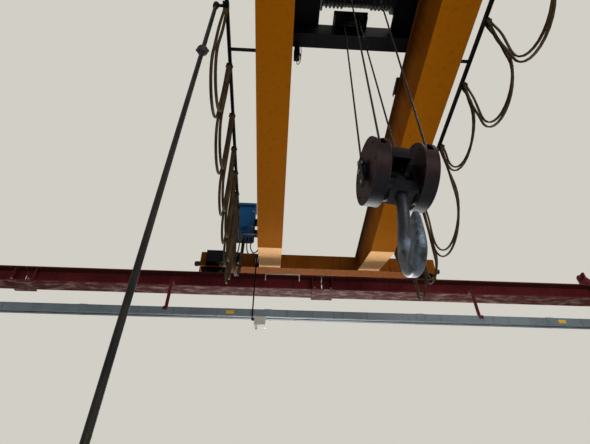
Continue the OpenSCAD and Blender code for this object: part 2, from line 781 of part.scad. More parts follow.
// Tow arm: from the trolley's right side member round the track to its own saddle
module tow_arm() {
  x0 = crane_x + girder_gauge / 2 + frame_w / 2;
  x1 = right_track + track_w / 2 + 20;
  z1 = frame_z0 + 160;
  y = tow_y + 30;
  color(black) {
    slab([x0, x1 + 40], [y, y + 30], [z1, z1 + 60]);
    slab([x1, x1 + 40], [y, y + 30], [track_z0 - 60, z1]);
    slab([right_track + 4, x1 + 40], [tow_y - 14, y + 30], [track_z0 - 60, track_z0 - 24]);
    carrier(right_track, tow_y);
  }
}

// Rope drum: grooved barrel with end flanges, on a pedestal at its left end
drum_x = hoist_cx + drum_shift;

module rope_drum() {
  color(steel) translate([drum_x - drum_len / 2, drum_y, drum_z]) {
    rotate([0, 90, 0]) rotate_extrude() polygon(concat(
      [[0, -70], [50, -70], [50, -18], [drum_r + 45, -18], [drum_r + 45, 0]],
      [for (i = [0 : 17], k = [0 : 1]) [drum_r - rope_d / 2 - (k == 0 ? 0 : 8),
        (i + 0.1 + k * 0.45) * drum_len / 18]],
      [[drum_r - rope_d / 2, drum_len], [drum_r + 45, drum_len], [drum_r + 45, drum_len + 18],
        [50, drum_len + 18], [50, drum_len + 60], [0, drum_len + 60]]));
  }
}

// Hoist gearbox at the drum's right end, with the drum's left pedestal
pedestal_out = 160;

module hoist_gearbox() {
  x = drum_x + drum_len / 2 + 60;
  left = drum_x - drum_len / 2 - 70;
  color(black) {
    slab([x, x + 190], [trolley_y - 700, drum_y + 260], [frame_z1, drum_z + 190]);
    slab([x + 20, x + 170], [trolley_y - 640, drum_y + 200], [drum_z + 190, drum_z + 230]);
    slab([left - 60, left], reach(drum_y, -110, 110), [frame_z1, drum_z + 80]);
    slab([drum_x - drum_len / 2 - pedestal_out, left + 10], reach(drum_y, -170, 170),
      [frame_z1, frame_z1 + 20]);
  }
}

// Hoist motor with its brake, beside the drum
module hoist_motor() {
  x1 = drum_x + drum_len / 2 + 60;
  y = trolley_y - 580;
  z = frame_z1 + 170;
  color(black) {
    bar_x([x1 - 60, y, z], 40, 60);
    bar_x([x1 - 190, y, z], 120, 130);
    bar_x([x1 - 240, y, z], 40, 50);
    bar_x([x1 - 780, y, z], 150, 540);
    bar_x([x1 - 850, y, z], 135, 70);
    slab([x1 - 640, x1 - 360], reach(y, -120, 120), [frame_z1, z - 80]);
    slab([x1 - 560, x1 - 400], reach(y, -190, -100), reach(z, -20, 90));
    slab([x1 - 180, x1 - 80], reach(y, -60, 60), [frame_z1, z - 60]);
  }
}

// Resistor box: a louvred case on the trolley's left
louvre_count = 8;
resistor_w = 250;
resistor_gap = 3;

module resistor_box() {
  x1 = drum_x - drum_len / 2 - pedestal_out - resistor_gap;
  x0 = x1 - resistor_w;
  y1 = trolley_y + cross_y - cross_w / 2 - 20;
  y0 = trolley_y - 140;
  z0 = frame_z1;
  h = 360;
  color(black) difference() {
    slab([x0, x1], [y0, y1], [z0, z0 + h]);
    for (i = [0 : louvre_count - 1]) {
      z = z0 + 40 + i * (h - 80) / louvre_count;
      slab([x0 - 1, x0 + 24], [y0 + 30, y1 - 30], [z, z + 16]);
      slab([x1 - 24, x1 + 1], [y0 + 30, y1 - 30], [z, z + 16]);
    }
  }
}

// Balance sheave between two hanger plates under a bracket on the far cross beam
module balance_bracket() {
  y1 = trolley_y + cross_y - cross_w / 2;
  color(black) {
    slab(reach(equal_x, -235, 235), [equal_y - 60, y1], reach(frame_z1, -16, 0));
    for (s = [-1, 1]) {
      slab(reach(equal_x + s * 215, -10, 10), [equal_y - 40, y1], reach(frame_z1, -120, -16));
      difference() {
        slab(reach(equal_x, -70, 70), reach(equal_y + s * 46, -8, 8), [equal_z - 60, frame_z1 - 16]);
        bar_y([equal_x, equal_y - 80, equal_z], 25, 160);
      }
    }
    bar_y([equal_x, equal_y - 64, equal_z], 25, 128);
  }
}

module groove_section(r, w, bore) {
  g = rope_d / 2 + 3;
  difference() {
    polygon([[bore, -w / 2], [bore + 30, -w / 2], [bore + 34, -w / 5], [r - g - 24, -w / 5],
      [r - g - 10, -w / 2], [r + 14, -w / 2], [r + 14, w / 2], [r - g - 10, w / 2],
      [r - g - 24, w / 5], [bore + 34, w / 5], [bore + 30, w / 2], [bore, w / 2]]);
    translate([r, 0]) circle(g);
    translate([r, -g]) square([20, 2 * g]);
  }
}

module balance_sheave() {
  color(steel) translate([equal_x, equal_y, equal_z]) rotate([90, 0, 0])
    rotate_extrude() groove_section(equal_r, 50, 25.05);
}

// Hoist rope: the four falls between the drum, the block and the balance sheave
function on_block(u, v, z) = [block_cx, trolley_y, block_z + z]
  + [u * cos(block_turn) - v * sin(block_turn), u * sin(block_turn) + v * cos(block_turn), 0];

module hoist_rope() {
  half = sheave_gap / 2;
  near_y = drum_y - drum_r;
  color(steel) {
    strand(on_block(-half, -sheave_r, 0), [lead_left, near_y, drum_z], rope_d / 2);
    strand(on_block(half, -sheave_r, 0), [lead_right, near_y, drum_z], rope_d / 2);
    strand(on_block(-half, sheave_r, 0), [equal_x - equal_r, equal_y, equal_z], rope_d / 2);
    strand(on_block(half, sheave_r, 0), [equal_x + equal_r, equal_y, equal_z], rope_d / 2);
  }
}

// Everything of the block is drawn along X and turned into place here
module on_axle() {
  translate([block_cx, trolley_y, block_z]) rotate([0, 0, block_turn]) children();
}

// Sheave guards: a drum-like cover round each sheave, slotted where the ropes run in
rope_slot = 60;

module sheave_guards() {
  color(maroon) on_axle() for (s = [-1, 1]) translate([s * sheave_gap / 2, 0, 0]) difference() {
    rotate([0, 90, 0]) translate([0, 0, -guard_w / 2]) difference() {
      cylinder(r = guard_r, h = guard_w, $fn = 72);
      translate([0, 0, guard_wall])
        cylinder(r = guard_r - guard_wall, h = guard_w - 2 * guard_wall, $fn = 72);
      translate([0, 0, -1]) cylinder(r = axle_r, h = guard_w + 2);
    }
    for (k = [-1, 1])
      slab([-rope_slot / 2, rope_slot / 2],
        k > 0 ? reach(sheave_r, -45, guard_r) : reach(-sheave_r, -guard_r, 45), [20, guard_r + 1]);
  }
}

module block_sheaves() {
  color(steel) on_axle() for (s = [-1, 1]) translate([s * sheave_gap / 2, 0, 0])
    rotate([0, 90, 0]) rotate_extrude($fn = 72) groove_section(sheave_r, sheave_w, axle_r + 0.05);
}

// Cheek plates: round-topped, from the axle down to the crosshead
cheek_t = 26;
cheek_x = sheave_gap / 2 - guard_w / 2 - cheek_t - 4;
trunnion_r = 38;
hood_r = 222;

module block_cheeks() {
  color(black) on_axle() for (s = [-1, 1]) difference() {
    translate([s > 0 ? cheek_x : -cheek_x - cheek_t, 0, 0]) rotate([90, 0, 90])
      linear_extrude(cheek_t) difference() {
        union() {
          circle(96);
          translate([0, -cross_drop]) circle(86);
          polygon([[-96, 0], [96, 0], [86, -cross_drop], [-86, -cross_drop]]);
        }
        circle(axle_r);
        translate([0, -cross_drop]) circle(trunnion_r);
      }
  }
  color(black) on_axle() difference() {
    bar_x([-cheek_x - 1, 0, 0], hood_r, cheek_x + 51);
    bar_x([10 - cheek_x, 0, 0], hood_r - 10, cheek_x + 30);
    bar_x([-cheek_x - 2, 0, 0], axle_r + 6, cheek_x + 53);
    slab([-cheek_x - 2, 52], [-hood_r - 1, hood_r + 1], [-hood_r - 1, -45]);
  }
}

// Block axle with a collar and a keeper plate at each end
module block_axle() {
  l = sheave_gap / 2 + guard_w / 2 + 36;
  color(steel) on_axle() {
    bar_x([-l, 0, 0], axle_r, 2 * l);
    for (s = [-1, 1]) {
      bar_x([s > 0 ? l - 36 : 6 - l, 0, 0], axle_r + 22, 30);
      slab(s > 0 ? [l - 6, l + 8] : [-l - 8, 6 - l], [-75, 75], [20, 52]);
      slab(s > 0 ? [l - 6, l + 14] : [-l - 14, 6 - l], [-38, 38], [-160, 120]);
    }
  }
}

// Crosshead: a forged block on two trunnions, bored for the hook's shank
crosshead_h = 120;

module crosshead() {
  color(steel) on_axle() translate([0, 0, -cross_drop]) difference() {
    union() {
      slab([-cheek_x + 0.5, cheek_x - 0.5], [-80, 80], [-crosshead_h / 2, crosshead_h / 2]);
      bar_x([-cheek_x - cheek_t - 2, 0, 0], trunnion_r - 0.05, 2 * (cheek_x + cheek_t + 2));
    }
    translate([0, 0, -crosshead_h]) cylinder(r = shank_r + 0.1, h = 2 * crosshead_h);
  }
}

// Hook: a forged single hook, swept from the shank round the bowl to the tip
hook_r = mouth_r + bowl_t / 2;
hook_sides = 16;

function bend(p, q, r, s, t) = p * pow(1 - t, 3) + 3 * q * t * pow(1 - t, 2)
  + 3 * r * t * t * (1 - t) + s * pow(t, 3);
function hook_size(u) = u < 0.6 ? sin(150 * u) : 1 - 0.45 * pow((u - 0.6) / 0.4, 1.5);
function hook_depth(u) = u < 0.6 ? 2 * shank_r + (bowl_t - 2 * shank_r) * hook_size(u)
  : bowl_t * hook_size(u);
function hook_width(u) = u < 0.6 ? 2 * shank_r + (hook_b - 2 * shank_r) * hook_size(u)
  : hook_b * hook_size(u);
hook_top = bowl_drop - cross_drop - crosshead_h / 2 - 8;
hook_path = concat(
  [for (i = [0 : 7]) bend([0, 0, hook_top], [0, 0, hook_top - 190], [hook_r - 6, 0, 190],
    [hook_r - 6, 0, 0], i / 8)],
  [for (a = [0 : 15 : 135]) (hook_r - 6 + a / 22) * [cos(a), 0, -sin(a)]],
  [for (i = [1 : 6]) bend(hook_r * [-0.707, 0, -0.707], hook_r * [-0.86, 0, -0.56],
    hook_r * [-1.02, 0, -0.1], [-hook_r - 12, 0, 150], i / 6)]);

function hook_ring(j) = let(n = len(hook_path), u = j / (n - 1),
  d = hook_path[min(j + 1, n - 1)] - hook_path[max(j - 1, 0)], t = d / norm(d),
  out = [-t[2], 0, t[0]], w = hook_width(u) / 2, h = hook_depth(u) / 2)
  [for (i = [0 : hook_sides - 1]) let(q = 360 * i / hook_sides, c = cos(q), m = sin(q),
    k = 0.86 - 0.14 * c * min(1, 3 * u))
    hook_path[j] + out * h * sign(c) * pow(abs(c), 0.8)
      + [0, w * k * sign(m) * pow(abs(m), 0.8), 0]];

module hook_body() {
  n = hook_sides;
  m = len(hook_path);
  polyhedron([for (j = [0 : m - 1]) each hook_ring(j)],
    concat([[for (i = [0 : n - 1]) n - 1 - i]], [[for (i = [0 : n - 1]) (m - 1) * n + i]],
      [for (j = [0 : m - 2], i = [0 : n - 1])
        [j * n + i, j * n + (i + 1) % n, (j + 1) * n + i]],
      [for (j = [0 : m - 2], i = [0 : n - 1])
        [j * n + (i + 1) % n, (j + 1) * n + (i + 1) % n, (j + 1) * n + i]]));
}

module hook() {
  color(steel) translate([block_cx, trolley_y, bowl_z]) rotate([0, 0, hook_turn]) {
    hook_body();
    bar_z([0, 0, hook_top - 40], shank_r, cross_z - bowl_z + crosshead_h / 2 + nut_h + 50 - hook_top);
  }
}

// Nut and thrust bearing on top of the crosshead
module hook_nut() {
  color(steel) translate([block_cx, trolley_y, cross_z + crosshead_h / 2]) difference() {
    union() {
      cylinder(r = 74, h = 30);
      translate([0, 0, 30]) cylinder(r = 66, h = nut_h - 30);
    }
    translate([0, 0, -1]) cylinder(r = shank_r + 0.05, h = nut_h + 2);
  }
}

runway_beam_far();
runway_beam_near();
runway_rail_far();
runway_rail_near();
runway_seats();
runway_stops();
power_duct();
duct_hangers();
flange_staple();
girder_left();
girder_right();
carriage_far();
carriage_near();
travel_wheels();
carriage_buffers();
travel_drive_far();
travel_drive_near();
trolley_rails();
trolley_stops();
control_cabinet();
cabinet_brackets();
junction_box();
collector_arm();
collector_trolley();
track_left();
track_right();
carriers_left();
carriers_right();
festoon_left();
festoon_right();
pendant_carrier();
pendant_cable();
pendant_station();
supply_cable();
festoon_leads();
trolley_frame();
trolley_wheels();
trolley_drive();
trolley_buffers();
tow_arm();
rope_drum();
hoist_gearbox();
hoist_motor();
resistor_box();
balance_bracket();
balance_sheave();
hoist_rope();
sheave_guards();
block_sheaves();
block_cheeks();
block_axle();
crosshead();
hook();
hook_nut();
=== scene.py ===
"""Looks of a double-girder overhead bridge crane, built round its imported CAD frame.

Metres. X runs along the runway, Y along the girders and Z up, as in the CAD source.
"""

import json
import logging
import math
from dataclasses import dataclass
from enum import Enum
from typing import Sequence

import bmesh
import bpy
from mathutils import Matrix, Vector
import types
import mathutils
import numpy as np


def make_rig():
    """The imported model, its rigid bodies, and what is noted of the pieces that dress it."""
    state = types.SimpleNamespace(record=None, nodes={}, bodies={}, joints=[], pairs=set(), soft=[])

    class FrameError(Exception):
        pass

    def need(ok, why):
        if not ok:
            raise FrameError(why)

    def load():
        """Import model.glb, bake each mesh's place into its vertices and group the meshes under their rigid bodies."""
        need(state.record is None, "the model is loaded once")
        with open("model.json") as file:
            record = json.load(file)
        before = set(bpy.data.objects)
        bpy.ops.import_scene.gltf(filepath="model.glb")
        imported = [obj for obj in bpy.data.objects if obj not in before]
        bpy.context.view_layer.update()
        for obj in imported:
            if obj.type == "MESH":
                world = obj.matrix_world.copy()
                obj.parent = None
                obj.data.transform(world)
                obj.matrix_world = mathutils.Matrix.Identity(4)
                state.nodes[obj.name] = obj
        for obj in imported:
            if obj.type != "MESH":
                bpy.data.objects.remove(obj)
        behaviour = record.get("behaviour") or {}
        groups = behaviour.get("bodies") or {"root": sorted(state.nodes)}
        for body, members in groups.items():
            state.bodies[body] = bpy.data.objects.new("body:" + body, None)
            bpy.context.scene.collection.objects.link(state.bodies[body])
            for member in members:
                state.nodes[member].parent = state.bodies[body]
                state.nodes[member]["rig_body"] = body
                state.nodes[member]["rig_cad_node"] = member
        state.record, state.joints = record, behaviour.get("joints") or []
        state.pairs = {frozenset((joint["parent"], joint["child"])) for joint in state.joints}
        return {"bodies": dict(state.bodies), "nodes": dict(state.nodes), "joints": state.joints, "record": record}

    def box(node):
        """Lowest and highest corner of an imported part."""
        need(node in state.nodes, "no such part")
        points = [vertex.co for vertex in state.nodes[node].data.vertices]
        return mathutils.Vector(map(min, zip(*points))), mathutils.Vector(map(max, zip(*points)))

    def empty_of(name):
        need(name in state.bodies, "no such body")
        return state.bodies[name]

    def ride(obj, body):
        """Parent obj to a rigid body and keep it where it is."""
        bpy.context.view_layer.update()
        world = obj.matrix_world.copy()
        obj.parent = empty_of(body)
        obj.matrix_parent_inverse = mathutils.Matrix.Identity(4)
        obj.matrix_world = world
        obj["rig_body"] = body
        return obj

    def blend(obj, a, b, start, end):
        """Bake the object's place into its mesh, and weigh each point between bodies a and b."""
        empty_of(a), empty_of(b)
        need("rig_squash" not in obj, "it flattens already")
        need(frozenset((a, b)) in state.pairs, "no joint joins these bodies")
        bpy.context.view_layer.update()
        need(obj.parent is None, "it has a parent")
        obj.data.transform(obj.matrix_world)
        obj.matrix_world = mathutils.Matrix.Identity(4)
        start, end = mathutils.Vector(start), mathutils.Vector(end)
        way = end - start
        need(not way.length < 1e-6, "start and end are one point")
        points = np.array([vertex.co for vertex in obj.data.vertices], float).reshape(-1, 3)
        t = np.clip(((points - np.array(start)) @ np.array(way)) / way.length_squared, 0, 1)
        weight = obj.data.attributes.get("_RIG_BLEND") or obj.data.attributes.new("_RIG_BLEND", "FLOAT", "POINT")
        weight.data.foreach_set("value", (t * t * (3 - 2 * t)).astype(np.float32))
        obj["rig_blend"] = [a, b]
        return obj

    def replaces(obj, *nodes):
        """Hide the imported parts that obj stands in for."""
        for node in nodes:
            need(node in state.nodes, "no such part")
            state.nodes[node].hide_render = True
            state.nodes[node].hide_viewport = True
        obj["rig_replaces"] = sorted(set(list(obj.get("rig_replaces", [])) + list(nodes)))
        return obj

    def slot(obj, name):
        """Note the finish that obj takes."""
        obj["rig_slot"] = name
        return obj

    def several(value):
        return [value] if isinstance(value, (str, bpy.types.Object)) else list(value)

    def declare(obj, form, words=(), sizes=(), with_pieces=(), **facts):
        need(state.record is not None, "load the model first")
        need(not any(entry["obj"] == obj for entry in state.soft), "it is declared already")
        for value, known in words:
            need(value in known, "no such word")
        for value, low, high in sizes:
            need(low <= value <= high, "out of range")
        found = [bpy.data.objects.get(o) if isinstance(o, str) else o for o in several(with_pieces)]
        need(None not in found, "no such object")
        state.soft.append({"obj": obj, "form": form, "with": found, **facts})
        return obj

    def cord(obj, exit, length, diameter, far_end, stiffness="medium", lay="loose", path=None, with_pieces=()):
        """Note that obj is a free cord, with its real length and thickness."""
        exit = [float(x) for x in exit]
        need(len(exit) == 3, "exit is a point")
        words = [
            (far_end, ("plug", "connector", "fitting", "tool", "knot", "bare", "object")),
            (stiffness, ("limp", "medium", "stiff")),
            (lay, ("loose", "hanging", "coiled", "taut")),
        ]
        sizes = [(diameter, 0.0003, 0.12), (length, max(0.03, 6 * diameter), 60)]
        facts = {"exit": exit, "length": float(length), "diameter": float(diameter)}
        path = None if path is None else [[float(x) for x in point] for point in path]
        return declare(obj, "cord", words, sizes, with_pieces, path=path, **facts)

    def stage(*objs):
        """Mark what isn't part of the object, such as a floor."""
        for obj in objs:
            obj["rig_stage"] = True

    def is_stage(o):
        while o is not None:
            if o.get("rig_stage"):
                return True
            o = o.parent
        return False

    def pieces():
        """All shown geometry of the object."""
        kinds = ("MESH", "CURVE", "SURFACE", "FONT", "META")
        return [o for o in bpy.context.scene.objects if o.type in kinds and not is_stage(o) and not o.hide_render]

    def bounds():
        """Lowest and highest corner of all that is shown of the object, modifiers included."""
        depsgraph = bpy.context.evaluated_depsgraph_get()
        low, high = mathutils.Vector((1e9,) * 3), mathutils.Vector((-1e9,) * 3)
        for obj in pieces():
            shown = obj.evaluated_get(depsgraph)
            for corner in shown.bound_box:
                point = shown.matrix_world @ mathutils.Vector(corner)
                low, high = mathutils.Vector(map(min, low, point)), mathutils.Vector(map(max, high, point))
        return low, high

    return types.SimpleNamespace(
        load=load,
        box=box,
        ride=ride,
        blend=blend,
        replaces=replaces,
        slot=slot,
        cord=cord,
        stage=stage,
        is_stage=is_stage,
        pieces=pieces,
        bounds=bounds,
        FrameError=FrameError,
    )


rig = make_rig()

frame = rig.load()
CAD_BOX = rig.bounds()
LOG = logging.getLogger("crane")

Point = tuple[float, float, float]

# Edges sharper than this many degrees stay sharp: on plates and turned parts, and on ropes and beads
CREASE = 35.0
SOFT_CREASE = 60.0

# Middle of the block's axle, how far it is turned out of the runway's line and where its sheaves are on it
BLOCK_MIDDLE: Point = (-0.010, -5.090, -2.235)
BLOCK_TURN = 6.5
SHEAVE_OUT = 0.19


def linear(code: str) -> tuple[float, float, float, float]:
    """Turn an sRGB hex colour into linear light.

    Args:
        code: the colour, such as "#8a5a1e".

    Returns:
        Red, green, blue and a full alpha.
    """
    parts = [int(code[i : i + 2], 16) / 255 for i in (1, 3, 5)]
    red, green, blue = (
        v / 12.92 if v <= 0.04045 else ((v + 0.055) / 1.055) ** 2.4 for v in parts
    )
    return red, green, blue, 1.0


class Slot(Enum):
    """Material slots of the record."""

    ORANGE = "orange_paint"
    MAROON = "maroon_paint"
    BLACK = "black_paint"
    BLUE = "blue_paint"
    GREY = "grey_paint"
    YELLOW = "yellow_plastic"
    RAIL = "rail_steel"
    FORGED = "forged_steel"
    ROPE = "wire_rope"
    BROWN_RUBBER = "brown_rubber"
    BLACK_RUBBER = "black_rubber"


class Tree:
    """A node tree and short ways to add to it."""

    def __init__(self, tree: bpy.types.NodeTree) -> None:
        """Take up the tree to add to."""
        self.tree = tree

    def feed(self, node: bpy.types.Node, links: dict) -> None:
        """Link or set a node's inputs.

        Args:
            node: the node.
            links: a socket to link from, or a value, for each named or numbered input.
        """
        for key, value in links.items():
            if isinstance(value, bpy.types.NodeSocket):
                self.tree.links.new(value, node.inputs[key])
            else:
                node.inputs[key].default_value = value

    def add(self, kind: str, links: dict | None = None, **settings: object) -> bpy.types.Node:
        """Add a node with its settings and links.

        Args:
            kind: Blender's name for the node.
            links: a socket to link from, or a value, for each named or numbered input.
            settings: the node's own properties.

        Returns:
            The new node.
        """
        node = self.tree.nodes.new(kind)
        for key, value in settings.items():
            setattr(node, key, value)
        self.feed(node, links or {})
        return node

    def maths(self, operation: str, *values: object) -> bpy.types.NodeSocket:
        """Work out one step of arithmetic on sockets and numbers."""
        return self.add("ShaderNodeMath", dict(enumerate(values)), operation=operation).outputs[0]

    def band(
        self, value: bpy.types.NodeSocket, low: float, high: float, top: float = 1.0
    ) -> bpy.types.NodeSocket:
        """Stretch the part of a pattern from low to high to 0..top."""
        links = {"Value": value, "From Min": low, "From Max": high, "To Max": top}
        return self.add("ShaderNodeMapRange", links, interpolation_type="SMOOTHSTEP").outputs["Result"]

    def over(self, under: object, cover: object, share: object) -> bpy.types.NodeSocket:
        """Lay the cover over the colour under it, as far as its share goes."""
        return self.add("ShaderNodeMix", {0: share, 6: under, 7: cover}, data_type="RGBA").outputs[2]

    def seen(self) -> bpy.types.NodeSocket:
        """Tell the rays that show a thing to the camera from those that light the crane.

        Returns:
            1 on rays from the camera, off a gloss or through glass, and 0 on all others.
        """
        rays = self.add("ShaderNodeLightPath").outputs
        mirrored = self.maths("MAXIMUM", rays["Is Camera Ray"], rays["Is Glossy Ray"])
        return self.maths("MAXIMUM", mirrored, rays["Is Transmission Ray"])


class Graph(Tree):
    """The node tree of one material round its Principled shader."""

    def __init__(self, name: str) -> None:
        """Start an empty finish.

        Args:
            name: the material's name.
        """
        self.material = bpy.data.materials.new(name)
        self.material.use_nodes = True
        super().__init__(self.material.node_tree)
        self.shader = self.tree.nodes["Principled BSDF"]
        self.place = self.add("ShaderNodeTexCoord").outputs["Object"]
        self.facing = self.add("ShaderNodeNewGeometry").outputs["Normal"]

    def axis(self, vector: bpy.types.NodeSocket, letter: str) -> bpy.types.NodeSocket:
        """Take the X, Y or Z of a vector."""
        return self.add("ShaderNodeSeparateXYZ", {0: vector}).outputs[letter]

    def noise(
        self, scale: float, detail: float, rough: float = 0.5, bend: float = 0.0,
        stretch: Point | None = None
    ) -> bpy.types.NodeSocket:
        """Lay a cloudy pattern over the solid.

        Args:
            scale: how many clouds there are to a metre.
            detail: how many finer layers they have.
            rough: how strong the finer layers are.
            bend: how far the clouds are drawn out of shape.
            stretch: a scale for each axis, where they differ.

        Returns:
            The pattern, from 0 to 1.
        """
        place = self.place
        if stretch:
            place = self.add("ShaderNodeMapping", {"Vector": place, "Scale": stretch}).outputs[0]
        links = {"Vector": place, "Scale": scale, "Detail": detail, "Roughness": rough, "Distortion": bend}
        return self.add("ShaderNodeTexNoise", links).outputs["Fac"]

    def rims(self, width: float) -> bpy.types.NodeSocket:
        """Find the sharp edges of the solid.

        Args:
            width: how far from an edge the result reaches.

        Returns:
            1 on an edge and 0 away from it.
        """
        rounded = self.add("ShaderNodeBevel", {"Radius": width}, samples=4).outputs[0]
        alike = self.add("ShaderNodeVectorMath", {0: rounded, 1: self.facing}, operation="DOT_PRODUCT")
        return self.band(alike.outputs["Value"], 0.995, 0.86)

    def close(
        self, colour: object, roughness: object, relief: object, depth: float, gloss: float
    ) -> bpy.types.Material:
        """Link the last colour, roughness and relief to the shader.

        Args:
            colour: the colour pattern.
            roughness: the roughness pattern.
            relief: the height pattern.
            depth: how deep the relief is, in metres.
            gloss: how strong the mirror light is.

        Returns:
            The finished material.
        """
        bump = self.add("ShaderNodeBump", {"Height": relief, "Distance": depth, "Strength": 0.6})
        self.feed(self.shader, {
            "Base Color": colour, "Roughness": roughness, "Normal": bump.outputs[0],
            "Specular IOR Level": gloss,
        })
        return self.material


@dataclass(frozen=True)
class Enamel:
    """Sprayed alkyd enamel on plate: satin, dusty on top, with runs of grime and worn edges, and with painted light
    and shade where they are set.

    Attributes:
        name: the material's name.
        slot: its slot in the record.
        colour: the paint.
        shade: the paint in its darker patches.
        grime_and_shade: what runs down it and spots it, and the colour of the painted shade high on a web.
        bare: what shows where it is chipped.
        roughness: how rough it is where it is smoothest.
        patch: the size of its patches of tone, in metres.
        runs: how strong the runs of grime are.
        wear: how strong the chips are.
        rim: how far in from an edge the chips reach, in metres.
        below: a colour painted on undersides for the light and shade that fall on them, where it is another.
        gloss: how strong the mirror light is.
        slope_light: the colour of the painted light on the sloping end plates, where it is another.
        dirt: how strong the spots are beside the runs.
        web_shade: the heights between which shade is painted on a web, where it is.
        scuffs: the colour of scrapes on the lowest underside, where there are some.
    """

    name: str
    slot: Slot
    colour: str
    shade: str
    grime_and_shade: str
    bare: str
    roughness: float = 0.5
    patch: float = 0.9
    runs: float = 0.35
    wear: float = 0.35
    rim: float = 0.008
    below: str = ""
    gloss: float = 0.14
    slope_light: str = ""
    dirt: float = 0.8
    web_shade: tuple[float, float] = (0.0, 0.0)
    scuffs: str = ""

    def make(self) -> bpy.types.Material:
        """Build the finish.

        Returns:
            The material.
        """
        g = Graph(self.name)
        # Tone drifts over patches of about a metre, as brushed touch-ups and fading do
        tone = g.noise(1 / self.patch, 5.0, 0.6)
        # Spots of dirt 10 to 40 mm across, and grain of about 3 mm drawn coarse to show
        spots = g.noise(22.0, 7.0, 0.65)
        grain = g.noise(140.0, 3.0)
        # Runs of grime are 60 mm wide and over a metre long, down the plate
        run = g.noise(1.8, 6.0, bend=0.4, stretch=(9.0, 9.0, 0.7))
        colour = g.over(linear(self.colour), linear(self.shade), g.band(tone, 0.38, 0.66))
        up, height = g.axis(g.facing, "Z"), g.axis(g.place, "Z")
        underside = g.band(up, -0.6, -0.9)
        # Painted light and shade: undersides take another colour for how the light falls on them
        if self.below:
            colour = g.over(colour, linear(self.below), underside)
        if self.slope_light:
            # Painted light: the sloping end plates catch the most light, so a chalky tan is painted on them
            lit_slope = g.band(g.maths("ABSOLUTE", g.axis(g.facing, "Y")), 0.2, 0.3)
            colour = g.over(colour, linear(self.slope_light), g.maths("MULTIPLY", lit_slope, g.band(up, -0.5, -0.7)))
        if self.scuffs:
            # Paint is scraped off the lowest underside in pale patches up to half a metre long
            rub = g.noise(1.5, 7.0, 0.62, stretch=(2.4, 8.0, 1.0))
            lowest = g.maths("MULTIPLY", underside, g.band(height, 0.2, 0.1))
            scraped = g.maths("MULTIPLY", lowest, g.band(rub, 0.44, 0.68, 0.8))
            colour = g.over(colour, linear(self.scuffs), scraped)
        if self.web_shade[1] > self.web_shade[0]:
            # Painted shade: the web is darkened from a wavy line up to its top, for the shadow under the trolley rail
            # and trolley
            wavy = g.maths("MULTIPLY_ADD", run, 0.5, height)
            web_shading = g.band(wavy, self.web_shade[0] + 0.25, self.web_shade[1] + 0.25, 0.85)
            colour = g.over(colour, linear(self.grime_and_shade), web_shading)
        colour = g.over(colour, linear(self.grime_and_shade), g.band(run, 0.52, 0.74, self.runs))
        colour = g.over(colour, linear(self.grime_and_shade), g.band(spots, 0.58, 0.72, self.runs * self.dirt))
        edge = g.maths("MULTIPLY", g.rims(self.rim), g.band(spots, 0.42, 0.56))
        colour = g.over(colour, linear(self.bare), g.maths("MULTIPLY", edge, self.wear))
        rough = g.maths("ADD", g.band(grain, 0.2, 0.8, 0.14), self.roughness)
        return g.close(colour, rough, spots, 0.0015, self.gloss)


@dataclass(frozen=True)
class Steel:
    """Bare or blackened steel: mottled scale, bright where it rubs and as a painted highlight on its edges, pitted by
    rust.

    Attributes:
        name: the material's name.
        slot: its slot in the record.
        colour: the metal.
        scale: the darker scale on it.
        bright: the metal where edges are polished, and the painted highlight on edges.
        rust: the rust blooms.
        roughness: how rough it is where it is smoothest.
        metallic: how much it mirrors as metal does.
        patch: the size of its mottles, in metres.
        rusted: how strong the rust is.
        polish_and_highlight: how strong the polish and the painted highlight on its edges are.
        pit: how deep its pits are, in metres.
        black_above: the height above which it is darker, in the colour of its scale, where it is.
        gloss: how strong the mirror light is.
    """

    name: str
    slot: Slot
    colour: str
    scale: str
    bright: str
    rust: str
    roughness: float = 0.42
    metallic: float = 0.7
    patch: float = 0.12
    rusted: float = 0.25
    polish_and_highlight: float = 0.5
    pit: float = 0.0012
    black_above: float = 0.0
    gloss: float = 0.5

    def make(self) -> bpy.types.Material:
        """Build the finish.

        Returns:
            The material.
        """
        g = Graph(self.name)
        tone = g.noise(1 / self.patch, 8.0, 0.62)
        # Rust blooms of 30 to 60 mm
        bloom = g.noise(14.0, 9.0, 0.7, 0.6)
        # Hammer and scale pits of about 6 mm
        links = {"Vector": g.place, "Scale": 170.0, "Randomness": 1.0}
        pits = g.add("ShaderNodeTexVoronoi", links, feature="SMOOTH_F1").outputs["Distance"]
        colour = g.over(linear(self.colour), linear(self.scale), g.band(tone, 0.4, 0.62))
        colour = g.over(colour, linear(self.rust), g.band(bloom, 0.54, 0.7, self.rusted))
        # Edges are painted bright, for polish and as a painted highlight
        colour = g.over(colour, linear(self.bright), g.maths("MULTIPLY", g.rims(0.005), self.polish_and_highlight))
        if self.black_above:
            # Up the shank, above that height, it takes the darker colour of the scale
            shank = g.band(g.axis(g.place, "Z"), self.black_above - 0.12, self.black_above + 0.02)
            colour = g.over(colour, linear(self.scale), shank)
        g.feed(g.shader, {"Metallic": self.metallic})
        rough = g.maths("ADD", g.band(bloom, 0.35, 0.7, 0.3), self.roughness)
        return g.close(colour, rough, g.maths("ADD", pits, tone), self.pit, self.gloss)


